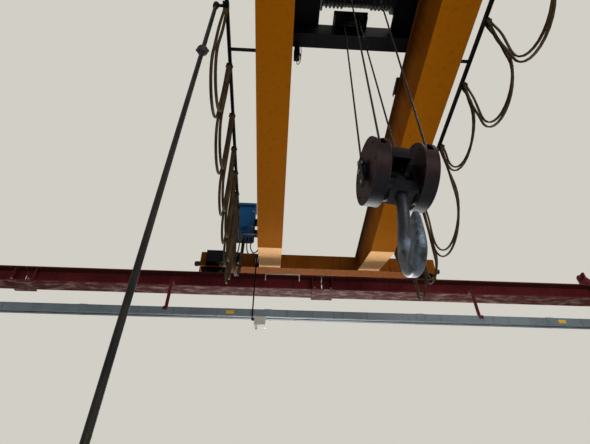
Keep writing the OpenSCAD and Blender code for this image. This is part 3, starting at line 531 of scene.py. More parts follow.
@dataclass(frozen=True)
class Sheath:
    """Extruded rubber or moulded plastic: smooth, scuffed, with dust in soft bands.

    Attributes:
        name: the material's name.
        slot: its slot in the record.
        colour: the rubber or plastic.
        dust: the dust on it.
        scuff: where it is rubbed.
        roughness: how rough it is where it is smoothest.
        dusty: how strong the dust is.
        coat: how strong a clear skin is.
        gloss: how strong the mirror light is.
    """

    name: str
    slot: Slot
    colour: str
    dust: str
    scuff: str
    roughness: float = 0.45
    dusty: float = 0.5
    coat: float = 0.0
    gloss: float = 0.35

    def make(self) -> bpy.types.Material:
        """Build the finish.

        Returns:
            The material.
        """
        g = Graph(self.name)
        # Dust lies in patches of about 200 mm and scuffs are 5 to 15 mm
        soft = g.noise(5.0, 5.0, 0.55)
        rub = g.noise(75.0, 6.0, 0.7)
        colour = g.over(linear(self.colour), linear(self.dust), g.band(soft, 0.36, 0.7, self.dusty))
        colour = g.over(colour, linear(self.scuff), g.band(rub, 0.6, 0.72, 0.4))
        g.feed(g.shader, {"IOR": 1.5, "Coat Weight": self.coat})
        rough = g.maths("ADD", g.band(rub, 0.3, 0.7, 0.2), self.roughness)
        return g.close(colour, rough, rub, 0.0006, self.gloss)


Finish = Enamel | Steel | Sheath

# Orange enamel of the girders: gone brown with grime, with painted shade high on the webs, painted light on the
# sloping end plates and a painted underside tone for the light there
GIRDER_ORANGE = Enamel(
    "orange_enamel", Slot.ORANGE, "#8c5002", "#7c4400", "#3a1e04", "#5c4226", below="#8a4f02",
    slope_light="#bb9062", roughness=0.7, runs=0.25, dirt=0.3, gloss=0.015, web_shade=(0.45, 0.9),
)
# The carriages' coat of the same enamel, painted darker on the flanks as shade, with broad runs, and painted lighter
# and warmer below for the light on the undersides
CARRIAGE_ORANGE_SHADED = Enamel(
    "carriage_enamel_shaded", Slot.ORANGE, "#6c3a05", "#5c3004", "#2c180a", "#4a3a2e", below="#844a18",
    roughness=0.65, runs=0.5, gloss=0.02,
)
# Red oxide enamel of the runway: matt and streaked, darkened by painted shade on its undersides and scuffed grey under
# its lower flange
RUNWAY_MAROON = Enamel(
    "oxide_enamel", Slot.MAROON, "#5c2124", "#4b181b", "#221012", "#6a5a54", below="#482424",
    roughness=0.68, runs=0.5, gloss=0.03, scuffs="#86706a",
)
# The same red on the block: near black with grease, worn to grey on its rims, with painted shade on its undersides
GUARD_MAROON = Enamel(
    "guard_enamel", Slot.MAROON, "#271012", "#190b0d", "#0f090a", "#5c5e64", below="#1b1a20",
    patch=0.12, rim=0.005, wear=0.45, roughness=0.46, gloss=0.1,
)
# Black enamel under a film of grease: a soft sheen and brown dust
MACHINE_BLACK = Enamel(
    "black_enamel", Slot.BLACK, "#0e0d10", "#09080a", "#181512", "#35322f",
    roughness=0.42, patch=0.3, gloss=0.06,
)
# Blue powder coat of the cabinet: even and satin, the cleanest surface on the crane, with painted shade on its
# underside
CABINET_BLUE = Enamel(
    "cabinet_powder_coat", Slot.BLUE, "#155a8c", "#114a76", "#10202c", "#5a6670", below="#0c2438",
    roughness=0.4, runs=0.2, gloss=0.08,
)
# Grey moulded duct: dull plastic with dust streaks
DUCT_GREY = Enamel(
    "duct_plastic", Slot.GREY, "#697478", "#5a6469", "#3c3c3a", "#9aa2a6", runs=0.4, wear=0.2
)
# Yellow enamelled plates: small bright marks along the duct
LABEL_YELLOW = Enamel(
    "plate_enamel", Slot.YELLOW, "#c9a024", "#b88e1c", "#5a4818", "#d8c890", roughness=0.35, patch=0.2
)
# Rolled rail: rusty web, bright running face
RAIL = Steel(
    "rolled_rail_steel", Slot.RAIL, "#5b5450", "#463c36", "#9a9a9a", "#5a3420", metallic=0.6, patch=0.3
)
# Zinc-plated fasteners: dulled, a little paler than what they hold
ZINC = Steel(
    "zinc_plated_steel", Slot.RAIL, "#75787a", "#606264", "#b4b6b8", "#6a5240",
    roughness=0.35, rusted=0.15,
)
# Pale moulded case of the current collector: yellowed and streaked
COLLECTOR_CASE = Enamel(
    "collector_plastic", Slot.GREY, "#a9a49c", "#98938a", "#5c564e", "#c4c0b8", runs=0.3, wear=0.2
)
# Galvanised flat bar: chalky white
STRAP = Steel(
    "galvanised_strap", Slot.RAIL, "#b4aa9a", "#9a9080", "#d0c8ba", "#7a6a58",
    roughness=0.6, metallic=0.1, rusted=0.15,
)
# Drop-forged hook steel: grey, polished by slings and with a painted highlight on its edges, darker above a height on
# the shank
FORGED = Steel(
    "drop_forged_steel", Slot.FORGED, "#4b5763", "#1f2329", "#aebac6", "#1a1b1f",
    roughness=0.36, metallic=0.5, polish_and_highlight=0.7, rusted=0.3, patch=0.07, black_above=-2.80,
)
# Machined steel of the sheaves, drum and axle: black with grease, only its edges catch the light
BLOCK_STEEL = Steel(
    "machined_steel", Slot.FORGED, "#15161a", "#0c0d10", "#4c5156", "#1c1512",
    metallic=0.25, patch=0.06, gloss=0.12,
)
# Greased rope wire: near black in the lays, dull bright on the crowns
ROPE_WIRE = Steel(
    "greased_rope_wire", Slot.ROPE, "#181614", "#0f0e0d", "#3c3833", "#211812",
    roughness=0.5, metallic=0.3, patch=0.05,
)
# Neoprene of the flat cables: dull brown-black, grey with dust on the bends
FLAT_CABLE = Sheath(
    "festoon_rubber", Slot.BROWN_RUBBER, "#30261a", "#4c3e2a", "#1e1913",
    dusty=0.7, roughness=0.6, gloss=0.04,
)
# Rubber of the round cables: blacker and smoother, with a faint shine along it
ROUND_CABLE = Sheath(
    "pendant_rubber", Slot.BLACK_RUBBER, "#151515", "#2e2a22", "#2c2b29",
    roughness=0.46, dusty=0.6, gloss=0.12,
)
# Hard rubber of buffers and seals: matt black with grey scuffs
BUFFER_RUBBER = Sheath(
    "buffer_rubber", Slot.BLACK_RUBBER, "#161517", "#332f2c", "#3a3634", roughness=0.6
)
# Yellow moulded polycarbonate of the push-button box: warm, handled, with a slight skin of gloss
BOX_YELLOW = Sheath(
    "moulded_polycarbonate", Slot.YELLOW, "#c89418", "#8a6c24", "#6e5a30",
    roughness=0.38, dusty=0.25, coat=0.1,
)

NODE_FINISH: dict[str, Finish] = {
    "runway_beam_far": RUNWAY_MAROON, "runway_beam_near": RUNWAY_MAROON, "runway_rail_far": RAIL,
    "runway_rail_near": RAIL, "runway_seats": RUNWAY_MAROON, "runway_stops": RUNWAY_MAROON,
    "power_duct": DUCT_GREY, "duct_hangers": RUNWAY_MAROON, "flange_staple": STRAP,
    "girder_left": GIRDER_ORANGE, "girder_right": GIRDER_ORANGE, "carriage_far": CARRIAGE_ORANGE_SHADED,
    "carriage_near": CARRIAGE_ORANGE_SHADED, "travel_wheels": MACHINE_BLACK, "carriage_buffers": BUFFER_RUBBER,
    "travel_drive_far": MACHINE_BLACK, "travel_drive_near": MACHINE_BLACK, "trolley_rails": RAIL,
    "trolley_stops": MACHINE_BLACK, "control_cabinet": CABINET_BLUE, "cabinet_brackets": MACHINE_BLACK,
    "junction_box": MACHINE_BLACK, "collector_arm": MACHINE_BLACK, "collector_trolley": COLLECTOR_CASE,
    "track_left": MACHINE_BLACK, "track_right": MACHINE_BLACK, "carriers_left": MACHINE_BLACK,
    "carriers_right": MACHINE_BLACK, "festoon_left": FLAT_CABLE, "festoon_right": FLAT_CABLE,
    "festoon_leads": FLAT_CABLE, "pendant_carrier": MACHINE_BLACK, "pendant_cable": ROUND_CABLE,
    "pendant_station": BOX_YELLOW, "supply_cable": FLAT_CABLE, "trolley_frame": MACHINE_BLACK,
    "trolley_wheels": RAIL, "trolley_drive": MACHINE_BLACK, "trolley_buffers": BUFFER_RUBBER,
    "tow_arm": MACHINE_BLACK, "rope_drum": BLOCK_STEEL, "hoist_gearbox": MACHINE_BLACK,
    "hoist_motor": MACHINE_BLACK, "resistor_box": MACHINE_BLACK, "balance_bracket": MACHINE_BLACK,
    "balance_sheave": BLOCK_STEEL, "hoist_rope": ROPE_WIRE, "sheave_guards": GUARD_MAROON,
    "block_sheaves": BLOCK_STEEL, "block_cheeks": MACHINE_BLACK, "block_axle": BLOCK_STEEL,
    "crosshead": BLOCK_STEEL, "hook": FORGED, "hook_nut": BLOCK_STEEL,
}


class Finishes:
    """Makes each finish once and hands it out."""

    def __init__(self) -> None:
        """Start with none made."""
        self.made: dict[str, bpy.types.Material] = {}

    def get(self, finish: Finish) -> bpy.types.Material:
        """Hand out a finish, made on first use.

        Args:
            finish: what to make.

        Returns:
            Its material.
        """
        if finish.name not in self.made:
            self.made[finish.name] = finish.make()
        return self.made[finish.name]

    def dress_nodes(self) -> None:
        """Put its finish on every CAD node."""
        for node, piece in frame["nodes"].items():
            material = self.get(NODE_FINISH[node])
            piece.data.materials.clear()
            piece.data.materials.append(material)
            for face in piece.data.polygons:
                face.material_index = 0


FINISHES = Finishes()


class Form:
    """Faces gathered into one mesh, in place."""

    def __init__(self) -> None:
        """Start empty."""
        self.mesh = bmesh.new()

    def cube(self, matrix: Matrix) -> dict:
        """Add a unit cube moved by a matrix."""
        return bmesh.ops.create_cube(self.mesh, size=1.0, matrix=matrix)

    def box(self, low: Sequence[float], high: Sequence[float], edge: float = 0.0) -> "Form":
        """Add a block with its edges eased.

        Args:
            low: its lowest corner.
            high: its highest corner.
            edge: how wide the eased edges are.

        Returns:
            This form.
        """
        size = Vector(high) - Vector(low)
        middle = (Vector(high) + Vector(low)) / 2
        made = self.cube(Matrix.Translation(middle) @ Matrix.Diagonal((*size, 1)))
        if edge:
            edges = list({e for v in made["verts"] for e in v.link_edges})
            bmesh.ops.bevel(self.mesh, geom=edges, offset=edge, segments=2, profile=0.6, affect="EDGES")
        return self

    def turned(
        self, start: Sequence[float], axis: Sequence[float], profile: Sequence[tuple[float, float]],
        sides: int = 28
    ) -> "Form":
        """Add a turned solid, closed at both ends.

        Args:
            start: the point on the axis where heights count from.
            axis: the direction of the axis.
            profile: radius and height of each ring, in order.
            sides: how many sides each ring has.

        Returns:
            This form.
        """
        up = Vector(axis).normalized()
        across = up.orthogonal().normalized()
        side = up.cross(across)
        rings = []
        for radius, height in profile:
            middle = Vector(start) + up * height
            rings.append([
                self.mesh.verts.new(middle + (across * math.cos(a) + side * math.sin(a)) * radius)
                for a in (math.tau * i / sides for i in range(sides))
            ])
        self.skin(rings)
        return self

    def stub(
        self, start: Sequence[float], axis: Sequence[float], radius: float, height: float,
        ease: tuple[float, float] = (0.002, 0.002), sides: int = 6
    ) -> "Form":
        """Add a short head, such as a bolt's, with its top edge eased in and down."""
        profile = [(radius, 0), (radius, height - ease[1]), (radius - ease[0], height)]
        return self.turned(start, axis, profile, sides)

    def fins(
        self, axle: Sequence[float], count: int, middle: Sequence[float], size: Sequence[float],
        bare: int, gap: float
    ) -> "Form":
        """Ring a motor that lies along X with cooling fins.

        Args:
            axle: a point on the motor's axis.
            count: how many fins would go all the way round.
            middle: the middle of a fin, from the axle.
            size: how long, high and thick a fin is.
            bare: 1 where the fins leave the top free, or -1 where they leave the foot.
            gap: how wide they leave it.

        Returns:
            This form.
        """
        fin = Matrix.Translation(Vector(middle)) @ Matrix.Diagonal((*size, 1))
        for k in range(count):
            a = math.tau * k / count
            if abs(math.sin(a) - bare) >= gap:
                self.cube(Matrix.Translation(Vector(axle)) @ Matrix.Rotation(a, 4, "X") @ fin)
        return self

    def skin(self, rings: list[list[bmesh.types.BMVert]]) -> None:
        """Close a row of rings into a solid.

        Args:
            rings: rings with the same number of points each.
        """
        count = len(rings[0])
        for first, second in zip(rings, rings[1:]):
            for i in range(count):
                j = (i + 1) % count
                self.mesh.faces.new((first[i], first[j], second[j], second[i]))
        self.mesh.faces.new(list(reversed(rings[0])))
        self.mesh.faces.new(rings[-1])

    def swept(
        self, path: Sequence[Vector], section: Sequence[tuple[float, float]], side: Sequence[float],
        lay: float = 0.0
    ) -> "Form":
        """Add a section swept along a path.

        Args:
            path: the points of the middle line.
            section: points across and out of the side direction.
            side: the direction that the section's first axis starts in.
            lay: length of one full turn of the section, or 0 for none.

        Returns:
            This form.
        """
        across = Vector(side)
        gone = 0.0
        rings = []
        for i, point in enumerate(path):
            ahead = (path[min(i + 1, len(path) - 1)] - path[max(i - 1, 0)]).normalized()
            across = (across - ahead * across.dot(ahead)).normalized()
            up = ahead.cross(across)
            gone += (point - path[i - 1]).length if i else 0.0
            turn = math.tau * gone / lay if lay else 0.0
            c, s = math.cos(turn), math.sin(turn)
            rings.append([
                self.mesh.verts.new(point + across * (u * c - v * s) + up * (u * s + v * c))
                for u, v in section
            ])
        self.skin(rings)
        return self

    def finish(self, name: str, finish: Finish, crease: float = CREASE) -> bpy.types.Object:
        """Turn the form into a dressed object.

        Args:
            name: the piece's name.
            finish: what it is made of.
            crease: the angle in degrees past which an edge stays sharp.

        Returns:
            The object, not yet on a body.
        """
        bmesh.ops.recalc_face_normals(self.mesh, faces=self.mesh.faces[:])
        data = bpy.data.meshes.new(name)
        self.mesh.to_mesh(data)
        self.mesh.free()
        data.materials.append(FINISHES.get(finish))
        piece = bpy.data.objects.new(name, data)
        bpy.context.scene.collection.objects.link(piece)
        shade(piece, crease)
        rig.slot(piece, finish.slot.value)
        return piece


def shade(piece: bpy.types.Object, crease: float) -> None:
    """Smooth a piece but for edges sharper than the crease, in degrees."""
    piece.data.polygons.foreach_set("use_smooth", [True] * len(piece.data.polygons))
    piece.data.set_sharp_from_angle(angle=math.radians(crease))


def settle(piece: bpy.types.Object, body: str, *nodes: str) -> bpy.types.Object:
    """Let a piece ride on a body and stand for CAD nodes.

    Args:
        piece: the object.
        body: the CAD body's name.
        nodes: the CAD nodes that it replaces.

    Returns:
        The object.
    """
    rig.ride(piece, body)
    if nodes:
        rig.replaces(piece, *nodes)
    LOG.info("%s rides on %s, %d faces", piece.name, body, len(piece.data.polygons))
    return piece


def circle(radius: float, sides: int = 12, first: float = 0.0) -> list[tuple[float, float]]:
    """Points set evenly round a circle, the first one at an angle in degrees."""
    angles = [math.radians(first) + math.tau * i / sides for i in range(sides)]
    return [(radius * math.cos(a), radius * math.sin(a)) for a in angles]


def twin_section(width: float, thick: float) -> list[tuple[float, float]]:
    """Outline of two flat cables lying side by side, joined at a groove.

    Args:
        width: over both cables.
        thick: through one cable.

    Returns:
        The points, once round.
    """
    w, t = width / 2, thick / 2
    upper = [(w, 0.3 * t), (w - 0.5 * t, 0.9 * t), (0.55 * w, t), (0.12 * w, 0.85 * t), (0, 0.35 * t)]
    right = [(w, -0.3 * t)] + upper
    left = [(-x, y) for x, y in reversed(upper[:-1])] + [(-w, -0.3 * t)]
    lower = [(-w + 0.5 * t, -0.9 * t), (-0.55 * w, -t), (-0.12 * w, -0.85 * t), (0, -0.35 * t),
             (0.12 * w, -0.85 * t), (0.55 * w, -t), (w - 0.5 * t, -0.9 * t)]
    return right + left + lower


def flat_section(width: float, thick: float) -> list[tuple[float, float]]:
    """Outline of one flat cable with eased edges.

    Args:
        width: across the cable.
        thick: through the cable.

    Returns:
        The points, once round.
    """
    w, t = width / 2, thick / 2
    upper = [(w, 0.4 * t), (w - 0.5 * t, t), (0.5 * t - w, t), (-w, 0.4 * t)]
    return upper + [(-x, -y) for x, y in upper]


def rope_section(radius: float, strands: int = 6) -> list[tuple[float, float]]:
    """Outline of a stranded rope: six round strands and the valleys between them.

    Args:
        radius: over the crowns of the strands.
        strands: how many there are.

    Returns:
        The points, once round.
    """
    points = []
    for i in range(strands * 4):
        a = math.tau * i / (strands * 4)
        r = radius * (1 - 0.17 * (0.5 - 0.5 * math.cos(strands * a)) ** 2)
        points.append((r * math.cos(a), r * math.sin(a)))
    return points


def curve_through(points: Sequence[Point], step: float) -> list[Vector]:
    """A smooth line through points, as a Catmull-Rom curve.

    Args:
        points: the points it passes.
        step: about how far apart the result's points are.

    Returns:
        The points of the line.
    """
    knots = [Vector(p) for p in points]
    line = [knots[0]]
    for i in range(len(knots) - 1):
        a, b, c, d = knots[max(i - 1, 0)], knots[i], knots[i + 1], knots[min(i + 2, len(knots) - 1)]
        count = max(1, round((c - b).length / step))
        square, cube = 2 * a - 5 * b + 4 * c - d, 3 * b - a - 3 * c + d
        for k in range(1, count + 1):
            t = k / count
            line.append(0.5 * (2 * b + (c - a) * t + square * t * t + cube * t**3))
    return line


def run_of(line: Sequence[Vector]) -> float:
    """Length of a line in metres."""
    return sum((b - a).length for a, b in zip(line, line[1:]))


class Pattern:
    """A Geometry Nodes tree that sets one cell on every point of a mesh."""

    def __init__(self) -> None:
        """Build the tree."""
        self.tree = bpy.data.node_groups.new("cells_on_points", "GeometryNodeTree")
        face = self.tree.interface
        self.ports: dict[str, str] = {}
        kinds = {
            "Points": "Geometry", "Cell": "Object", "Finish": "Material",
            "Spin axis": "Vector", "Spin": "Float", "Seed": "Int",
        }
        for name, kind in kinds.items():
            socket = face.new_socket(name, in_out="INPUT", socket_type=f"NodeSocket{kind}")
            self.ports[name] = socket.identifier
        face.new_socket("Cells", in_out="OUTPUT", socket_type="NodeSocketGeometry")
        g = Tree(self.tree)
        given = g.add("NodeGroupInput").outputs
        cell = g.add("GeometryNodeObjectInfo", {"Object": given["Cell"]}).outputs["Geometry"]
        # Each cell is turned about the spin axis by its own share of the largest spin
        links = {3: given["Spin"], "Seed": given["Seed"]}
        chance = g.add("FunctionNodeRandomValue", links, data_type="FLOAT").outputs[1]
        links = {0: given["Spin axis"], "Scale": chance}
        turn = g.add("ShaderNodeVectorMath", links, operation="SCALE").outputs[0]
        links = {"Points": given["Points"], "Instance": cell, "Rotation": turn}
        placed = g.add("GeometryNodeInstanceOnPoints", links).outputs[0]
        real = g.add("GeometryNodeRealizeInstances", {0: placed}).outputs[0]
        links = {"Geometry": real, "Material": given["Finish"]}
        g.add("NodeGroupOutput", {0: g.add("GeometryNodeSetMaterial", links).outputs[0]})

    def lay(
        self, name: str, cell: Form, places: Sequence[Sequence[float]], finish: Finish, body: str,
        axis: Point = (0, 0, 1), spin: float = 0.0
    ) -> bpy.types.Object:
        """Set a cell on each place and let the result ride on a body.

        Args:
            name: the piece's name.
            cell: one cell, drawn round the origin.
            places: where the cells go.
            finish: what they are made of.
            body: the CAD body that they ride on.
            axis: the axis that a cell may be turned about.
            spin: the most that a cell is turned, in radians.

        Returns:
            The piece.
        """
        model = cell.finish(f"{name}.cell", finish)
        data = bpy.data.meshes.new(name)
        data.from_pydata([tuple(p) for p in places], [], [])
        piece = bpy.data.objects.new(name, data)
        bpy.context.scene.collection.objects.link(piece)
        step = piece.modifiers.new("cells", "NODES")
        step.node_group = self.tree
        values = {"Cell": model, "Finish": FINISHES.get(finish), "Spin axis": axis, "Spin": spin, "Seed": 7}
        for port, value in values.items():
            step[self.ports[port]] = value
        bpy.context.view_layer.update()
        solved = piece.evaluated_get(bpy.context.evaluated_depsgraph_get())
        result = bpy.data.meshes.new_from_object(solved)
        piece.modifiers.remove(step)
        piece.data = result
        result.name = name
        bpy.data.meshes.remove(data)
        bpy.data.objects.remove(model)
        shade(piece, CREASE)
        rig.slot(piece, finish.slot.value)
        return settle(piece, body)


PATTERN = Pattern()


def bolt(axis: Point, size: float, stud: float = 0.0) -> Form:
    """A hexagon head on its washer, with an optional stud end.

    Args:
        axis: the direction that the head points in.
        size: the thread's diameter.
        stud: how far a threaded end stands out.

    Returns:
        The form, round the origin.
    """
    washer = [(1.25, 0), (1.25, 0.16), (0.9, 0.16)]
    nut = [(0.95, 0.14), (0.95, 0.7), (0.8, 0.82)]
    head = Form()
    for profile, sides in ((washer, 16), (nut, 6)):
        head.turned((0, 0, 0), axis, [(size * radius, size * height) for radius, height in profile], sides)
    if stud:
        tip = (size * 0.4, size * 0.85 + stud)
        thread = [(size * 0.5, size * 0.5), (size * 0.5, size * 0.8 + stud), tip]
        head.turned((0, 0, 0), axis, thread, 10)
    return head


@dataclass
class Cord:
    """One free cord: its route, section and declared facts.

    Attributes:
        name: the piece's name.
        route: the points of its middle line, from its exit on.
        section: its outline.
        diameter: the diameter that it is declared with.
        finish: what it is made of.
        stiffness: how stiff it is.
        lay: how it lies.
        far_end: what its far end is at.
        side: the direction that the section's first axis starts in.
        twist: length of one full turn of its strands, or 0 for none.
    """

    name: str
    route: list[Vector]
    section: list[tuple[float, float]]
    diameter: float
    finish: Finish
    stiffness: str = "medium"
    lay: str = "hanging"
    far_end: str = "object"
    side: Point = (1, 0, 0)
    twist: float = 0.0

    def build(self) -> bpy.types.Object:
        """Sweep the section along the route."""
        form = Form().swept(self.route, self.section, self.side, self.twist)
        return form.finish(self.name, self.finish, SOFT_CREASE)

    def declare(self, piece: bpy.types.Object, extras: Sequence[bpy.types.Object] = ()) -> None:
        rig.cord(piece, exit=self.route[0], length=run_of(self.route), diameter=self.diameter,
                far_end=self.far_end, stiffness=self.stiffness, lay=self.lay, path=self.route,
                with_pieces=list(extras))
        LOG.info("%s is %.2f m long", piece.name, run_of(self.route))


def unsmooth(weight: float) -> float:
    """The place between 0 and 1 where a smooth step reaches a weight."""
    return 0.5 - math.sin(math.asin(1 - 2 * min(max(weight, 0.0), 1.0)) / 3)


@dataclass
class Festoon:
    """Cable loops on sliding carriers, stretched between a fixed and a towed end.

    Attributes:
        side: left or right.
        track_x: where its track is.
        towed: the body that draws its far end along.
        stations: where its carriers stand, from the fixed end on.
        drops: how far each loop hangs below the saddles.
        lead: points of the cable from its gland to the first carrier.
        track_z: the height of the track's slot.
        saddle: how far the saddles are below it.
        half_gap: how far a loop's end is from its carrier's middle.
        width: over both cables.
        thick: through one cable.
        clamp: how far the clamp drums are below the track's slot.
        slack: how much less the shorter cable hangs, and how much that grows in turn.
    """

    side: str
    track_x: float
    towed: str
    stations: tuple[float, ...]
    drops: tuple[float, ...]
    lead: tuple[Point, ...]
    track_z: float = 0.085
    saddle: float = 0.09
    half_gap: float = 0.024
    width: float = 0.058
    thick: float = 0.017
    clamp: float = 0.07
    slack: tuple[float, float] = (0.07, 0.02)

    def share(self, y: float) -> float:
        """How far a station moves for each metre of the towed end."""
        return (y - self.stations[0]) / (self.stations[-1] - self.stations[0])

    def stretch(self, piece: bpy.types.Object, y0: float, y1: float) -> None:
        """Blend a piece so that its ends follow their two stations.

        Args:
            piece: the object.
            y0: the station at its fixed end.
            y1: the station at its towed end.
        """
        t0, t1 = unsmooth(self.share(y0)), unsmooth(self.share(y1))
        # A carrier moves as a whole, so its blend runs over far more than its own length
        reach = (y1 - y0) / (t1 - t0) if y1 != y0 else -200.0
        start = y0 - t0 * reach
        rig.blend(piece, "bridge", self.towed, start=(0, start, 0), end=(0, start + reach, 0))

    def loop(self, y0: float, y1: float, drop: float, belly: float = 0.02) -> list[Vector]:
        """The line of one hanging loop.

        Args:
            y0: the station that it leaves.
            y1: the station that it reaches.
            drop: how far it hangs below the saddles.
            belly: how far its sides swell outwards.

        Returns:
            Its points.
        """
        way = -1 if y1 < y0 else 1
        radius = abs(y1 - y0) / 2 - self.half_gap
        middle, top = (y0 + y1) / 2, self.track_z - self.saddle
        swell = min(belly, radius * 0.12)
        line = []
        for k in range(20):
            s = k / 20
            out = radius + swell * math.sin(math.pi * s) ** 2
            line.append(Vector((self.track_x, middle - way * out, top - s * (drop - radius))))
        side = line[:]
        for k in range(15):
            a = math.pi * k / 14
            z = top - (drop - radius) - radius * math.sin(a)
            line.append(Vector((self.track_x, middle - way * radius * math.cos(a), z)))
        return line + [Vector((p.x, 2 * middle - p.y, p.z)) for p in reversed(side)]

    def carrier(self, y: float) -> Form:
        """One carrier: hanger plate, clamp block, rubber bumpers and its two bolts.

        Args:
            y: where it stands.

        Returns:
            The form.
        """
        x, z = self.track_x, self.track_z
        form = Form()
        form.box((x - 0.004, y - 0.022, z - 0.06), (x + 0.004, y + 0.022, z + 0.012))
        form.box((x - 0.03, y - 0.03, z - 0.052), (x + 0.03, y + 0.03, z - 0.04), 0.003)
        drum = [(0.036, 0), (0.042, 0.004), (0.042, 0.064), (0.036, 0.068)]
        form.turned((x - 0.034, y, z - self.clamp), (1, 0, 0), drum, 20)
        for way in (-1, 1):
            form.stub((x, y + way * 0.03, z - 0.06), (0, way, 0), 0.016, 0.018, (0.004, 0.004), 12)
            form.stub((x + way * 0.034, y, z - self.clamp), (way, 0, 0), 0.014, 0.010, (0.004, 0.002))
        return form

    def build(self) -> None:
        """Hang the lead, the loops and their carriers."""
        section = twin_section(self.width, self.thick)
        route = curve_through(self.lead, 0.05)
        lead = Cord(f"festoon_lead_{self.side}", route, section, self.width, FLAT_CABLE)
        lead.declare(settle(lead.build(), "bridge", "festoon_leads"))
        section = flat_section(self.width / 2, self.thick)
        for i, (y0, y1, drop) in enumerate(zip(self.stations, self.stations[1:], self.drops)):
            # The two flat cables part below the saddles, because one was hung with less slack
            tighter = self.slack[0] + self.slack[1] * (i % 3)
            for strand, way, less in (("long", -1, 0.0), ("short", 1, tighter)):
                aside = Vector((way * self.width / 4, 0, 0))
                route = [p + aside for p in self.loop(y0, y1, drop - less, 0.02 - 0.4 * less)]
                name = f"festoon_loop_{self.side}_{i + 1}_{strand}"
                cord = Cord(name, route, section, self.width / 2, FLAT_CABLE)
                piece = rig.replaces(cord.build(), f"festoon_{self.side}")
                self.stretch(piece, y0, y1)
                cord.declare(piece)
            carrier = self.carrier(y0).finish(f"carrier_{self.side}_{i + 1}", MACHINE_BLACK)
            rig.replaces(carrier, f"carriers_{self.side}")
            if i:
                self.stretch(carrier, y0, y0)
            else:
                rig.ride(carrier, "bridge")


@dataclass
class Pendant:
    """The hanging control cable and its push-button station.

    Attributes:
        x: where the cable is along the runway.
        y: where it is along the girders.
        top: where it leaves its carrier.
        bottom: where it enters the station.
        inside: how far it runs on inside, to its terminals.
        radius: the cable's radius.
        clamp_z: the height of the clamp on it.
        pitch: from one button to the next.
    """

    x: float = -1.684
    y: float = -5.44
    top: float = 0.055
    bottom: float = -4.925
    inside: float = 0.30
    radius: float = 0.02
    clamp_z: float = -1.02
    pitch: float = 0.042

    def build(self) -> None:
        """Hang the cable, its cable clamp and the station."""
        up = (0, 0, 1)
        fall = self.bottom - self.inside - self.top
        route = [Vector((self.x, self.y, self.top + fall * k / 60)) for k in range(61)]
        section = circle(self.radius, 20)
        cord = Cord("pendant_cord", route, section, 2 * self.radius, ROUND_CABLE, far_end="tool")
        cable = settle(cord.build(), "pendant", "pendant_cable")
        profile = [(0.022, 0), (0.040, 0.012), (0.050, 0.032), (0.052, 0.045)]
        profile += [(0.050, 0.058), (0.040, 0.078), (0.022, 0.09)]
        knob = Form().turned((self.x, self.y, self.clamp_z - 0.045), up, profile, 20)
        for way in (-1, 1):
            start = (self.x + way * 0.046, self.y, self.clamp_z)
            knob.stub(start, (way, 0, 0), 0.014, 0.013, (0.004, 0.003), 8)
        clamp = settle(knob.finish("pendant_cable_clamp", BUFFER_RUBBER), "pendant")
        station = settle(self.station().finish("pendant_box", BOX_YELLOW), "pendant", "pendant_station")
        # The boot's rings narrow upwards, with a fold between each two
        profile = [(0.036, 0)]
        for k in range(7):
            profile += [(0.034 - 0.0015 * k, 0.008 + 0.014 * k), (0.029 - 0.001 * k, 0.015 + 0.014 * k)]
        boot = Form().turned((self.x, self.y, self.bottom - 0.08), up, profile + [(0.021, 0.115)], 20)
        boots = settle(boot.finish("pendant_boot", ROUND_CABLE), "pendant")
        profile = [(0.017, 0), (0.017, 0.006), (0.013, 0.008), (0.013, 0.013), (0.011, 0.015)]
        button = Form().turned((0, 0, 0), (0, -1, 0), profile, 18)
        places = [(self.x, self.y - 0.038, self.bottom - 0.11 - self.pitch * k) for k in range(6)]
        buttons = PATTERN.lay("pendant_buttons", button, places, BUFFER_RUBBER, "pendant")
        cord.declare(cable, [clamp, station, boots, buttons])

    def station(self) -> Form:
        """The two-part housing with its gasket line and ribs.

        Returns:
            The form.
        """
        x, y, z = self.x, self.y, self.bottom
        form = Form().box((x - 0.045, y - 0.008, z - 0.36), (x + 0.045, y + 0.038, z - 0.07), 0.010)
        form.box((x - 0.045, y - 0.038, z - 0.36), (x + 0.045, y - 0.010, z - 0.07), 0.008)
        form.box((x - 0.042, y - 0.012, z - 0.357), (x + 0.042, y - 0.006, z - 0.073))
        for k in range(7):
            rib = z - 0.089 - self.pitch * k
            form.box((x - 0.040, y - 0.041, rib - 0.002), (x + 0.040, y - 0.037, rib + 0.002), 0.0015)
        return form


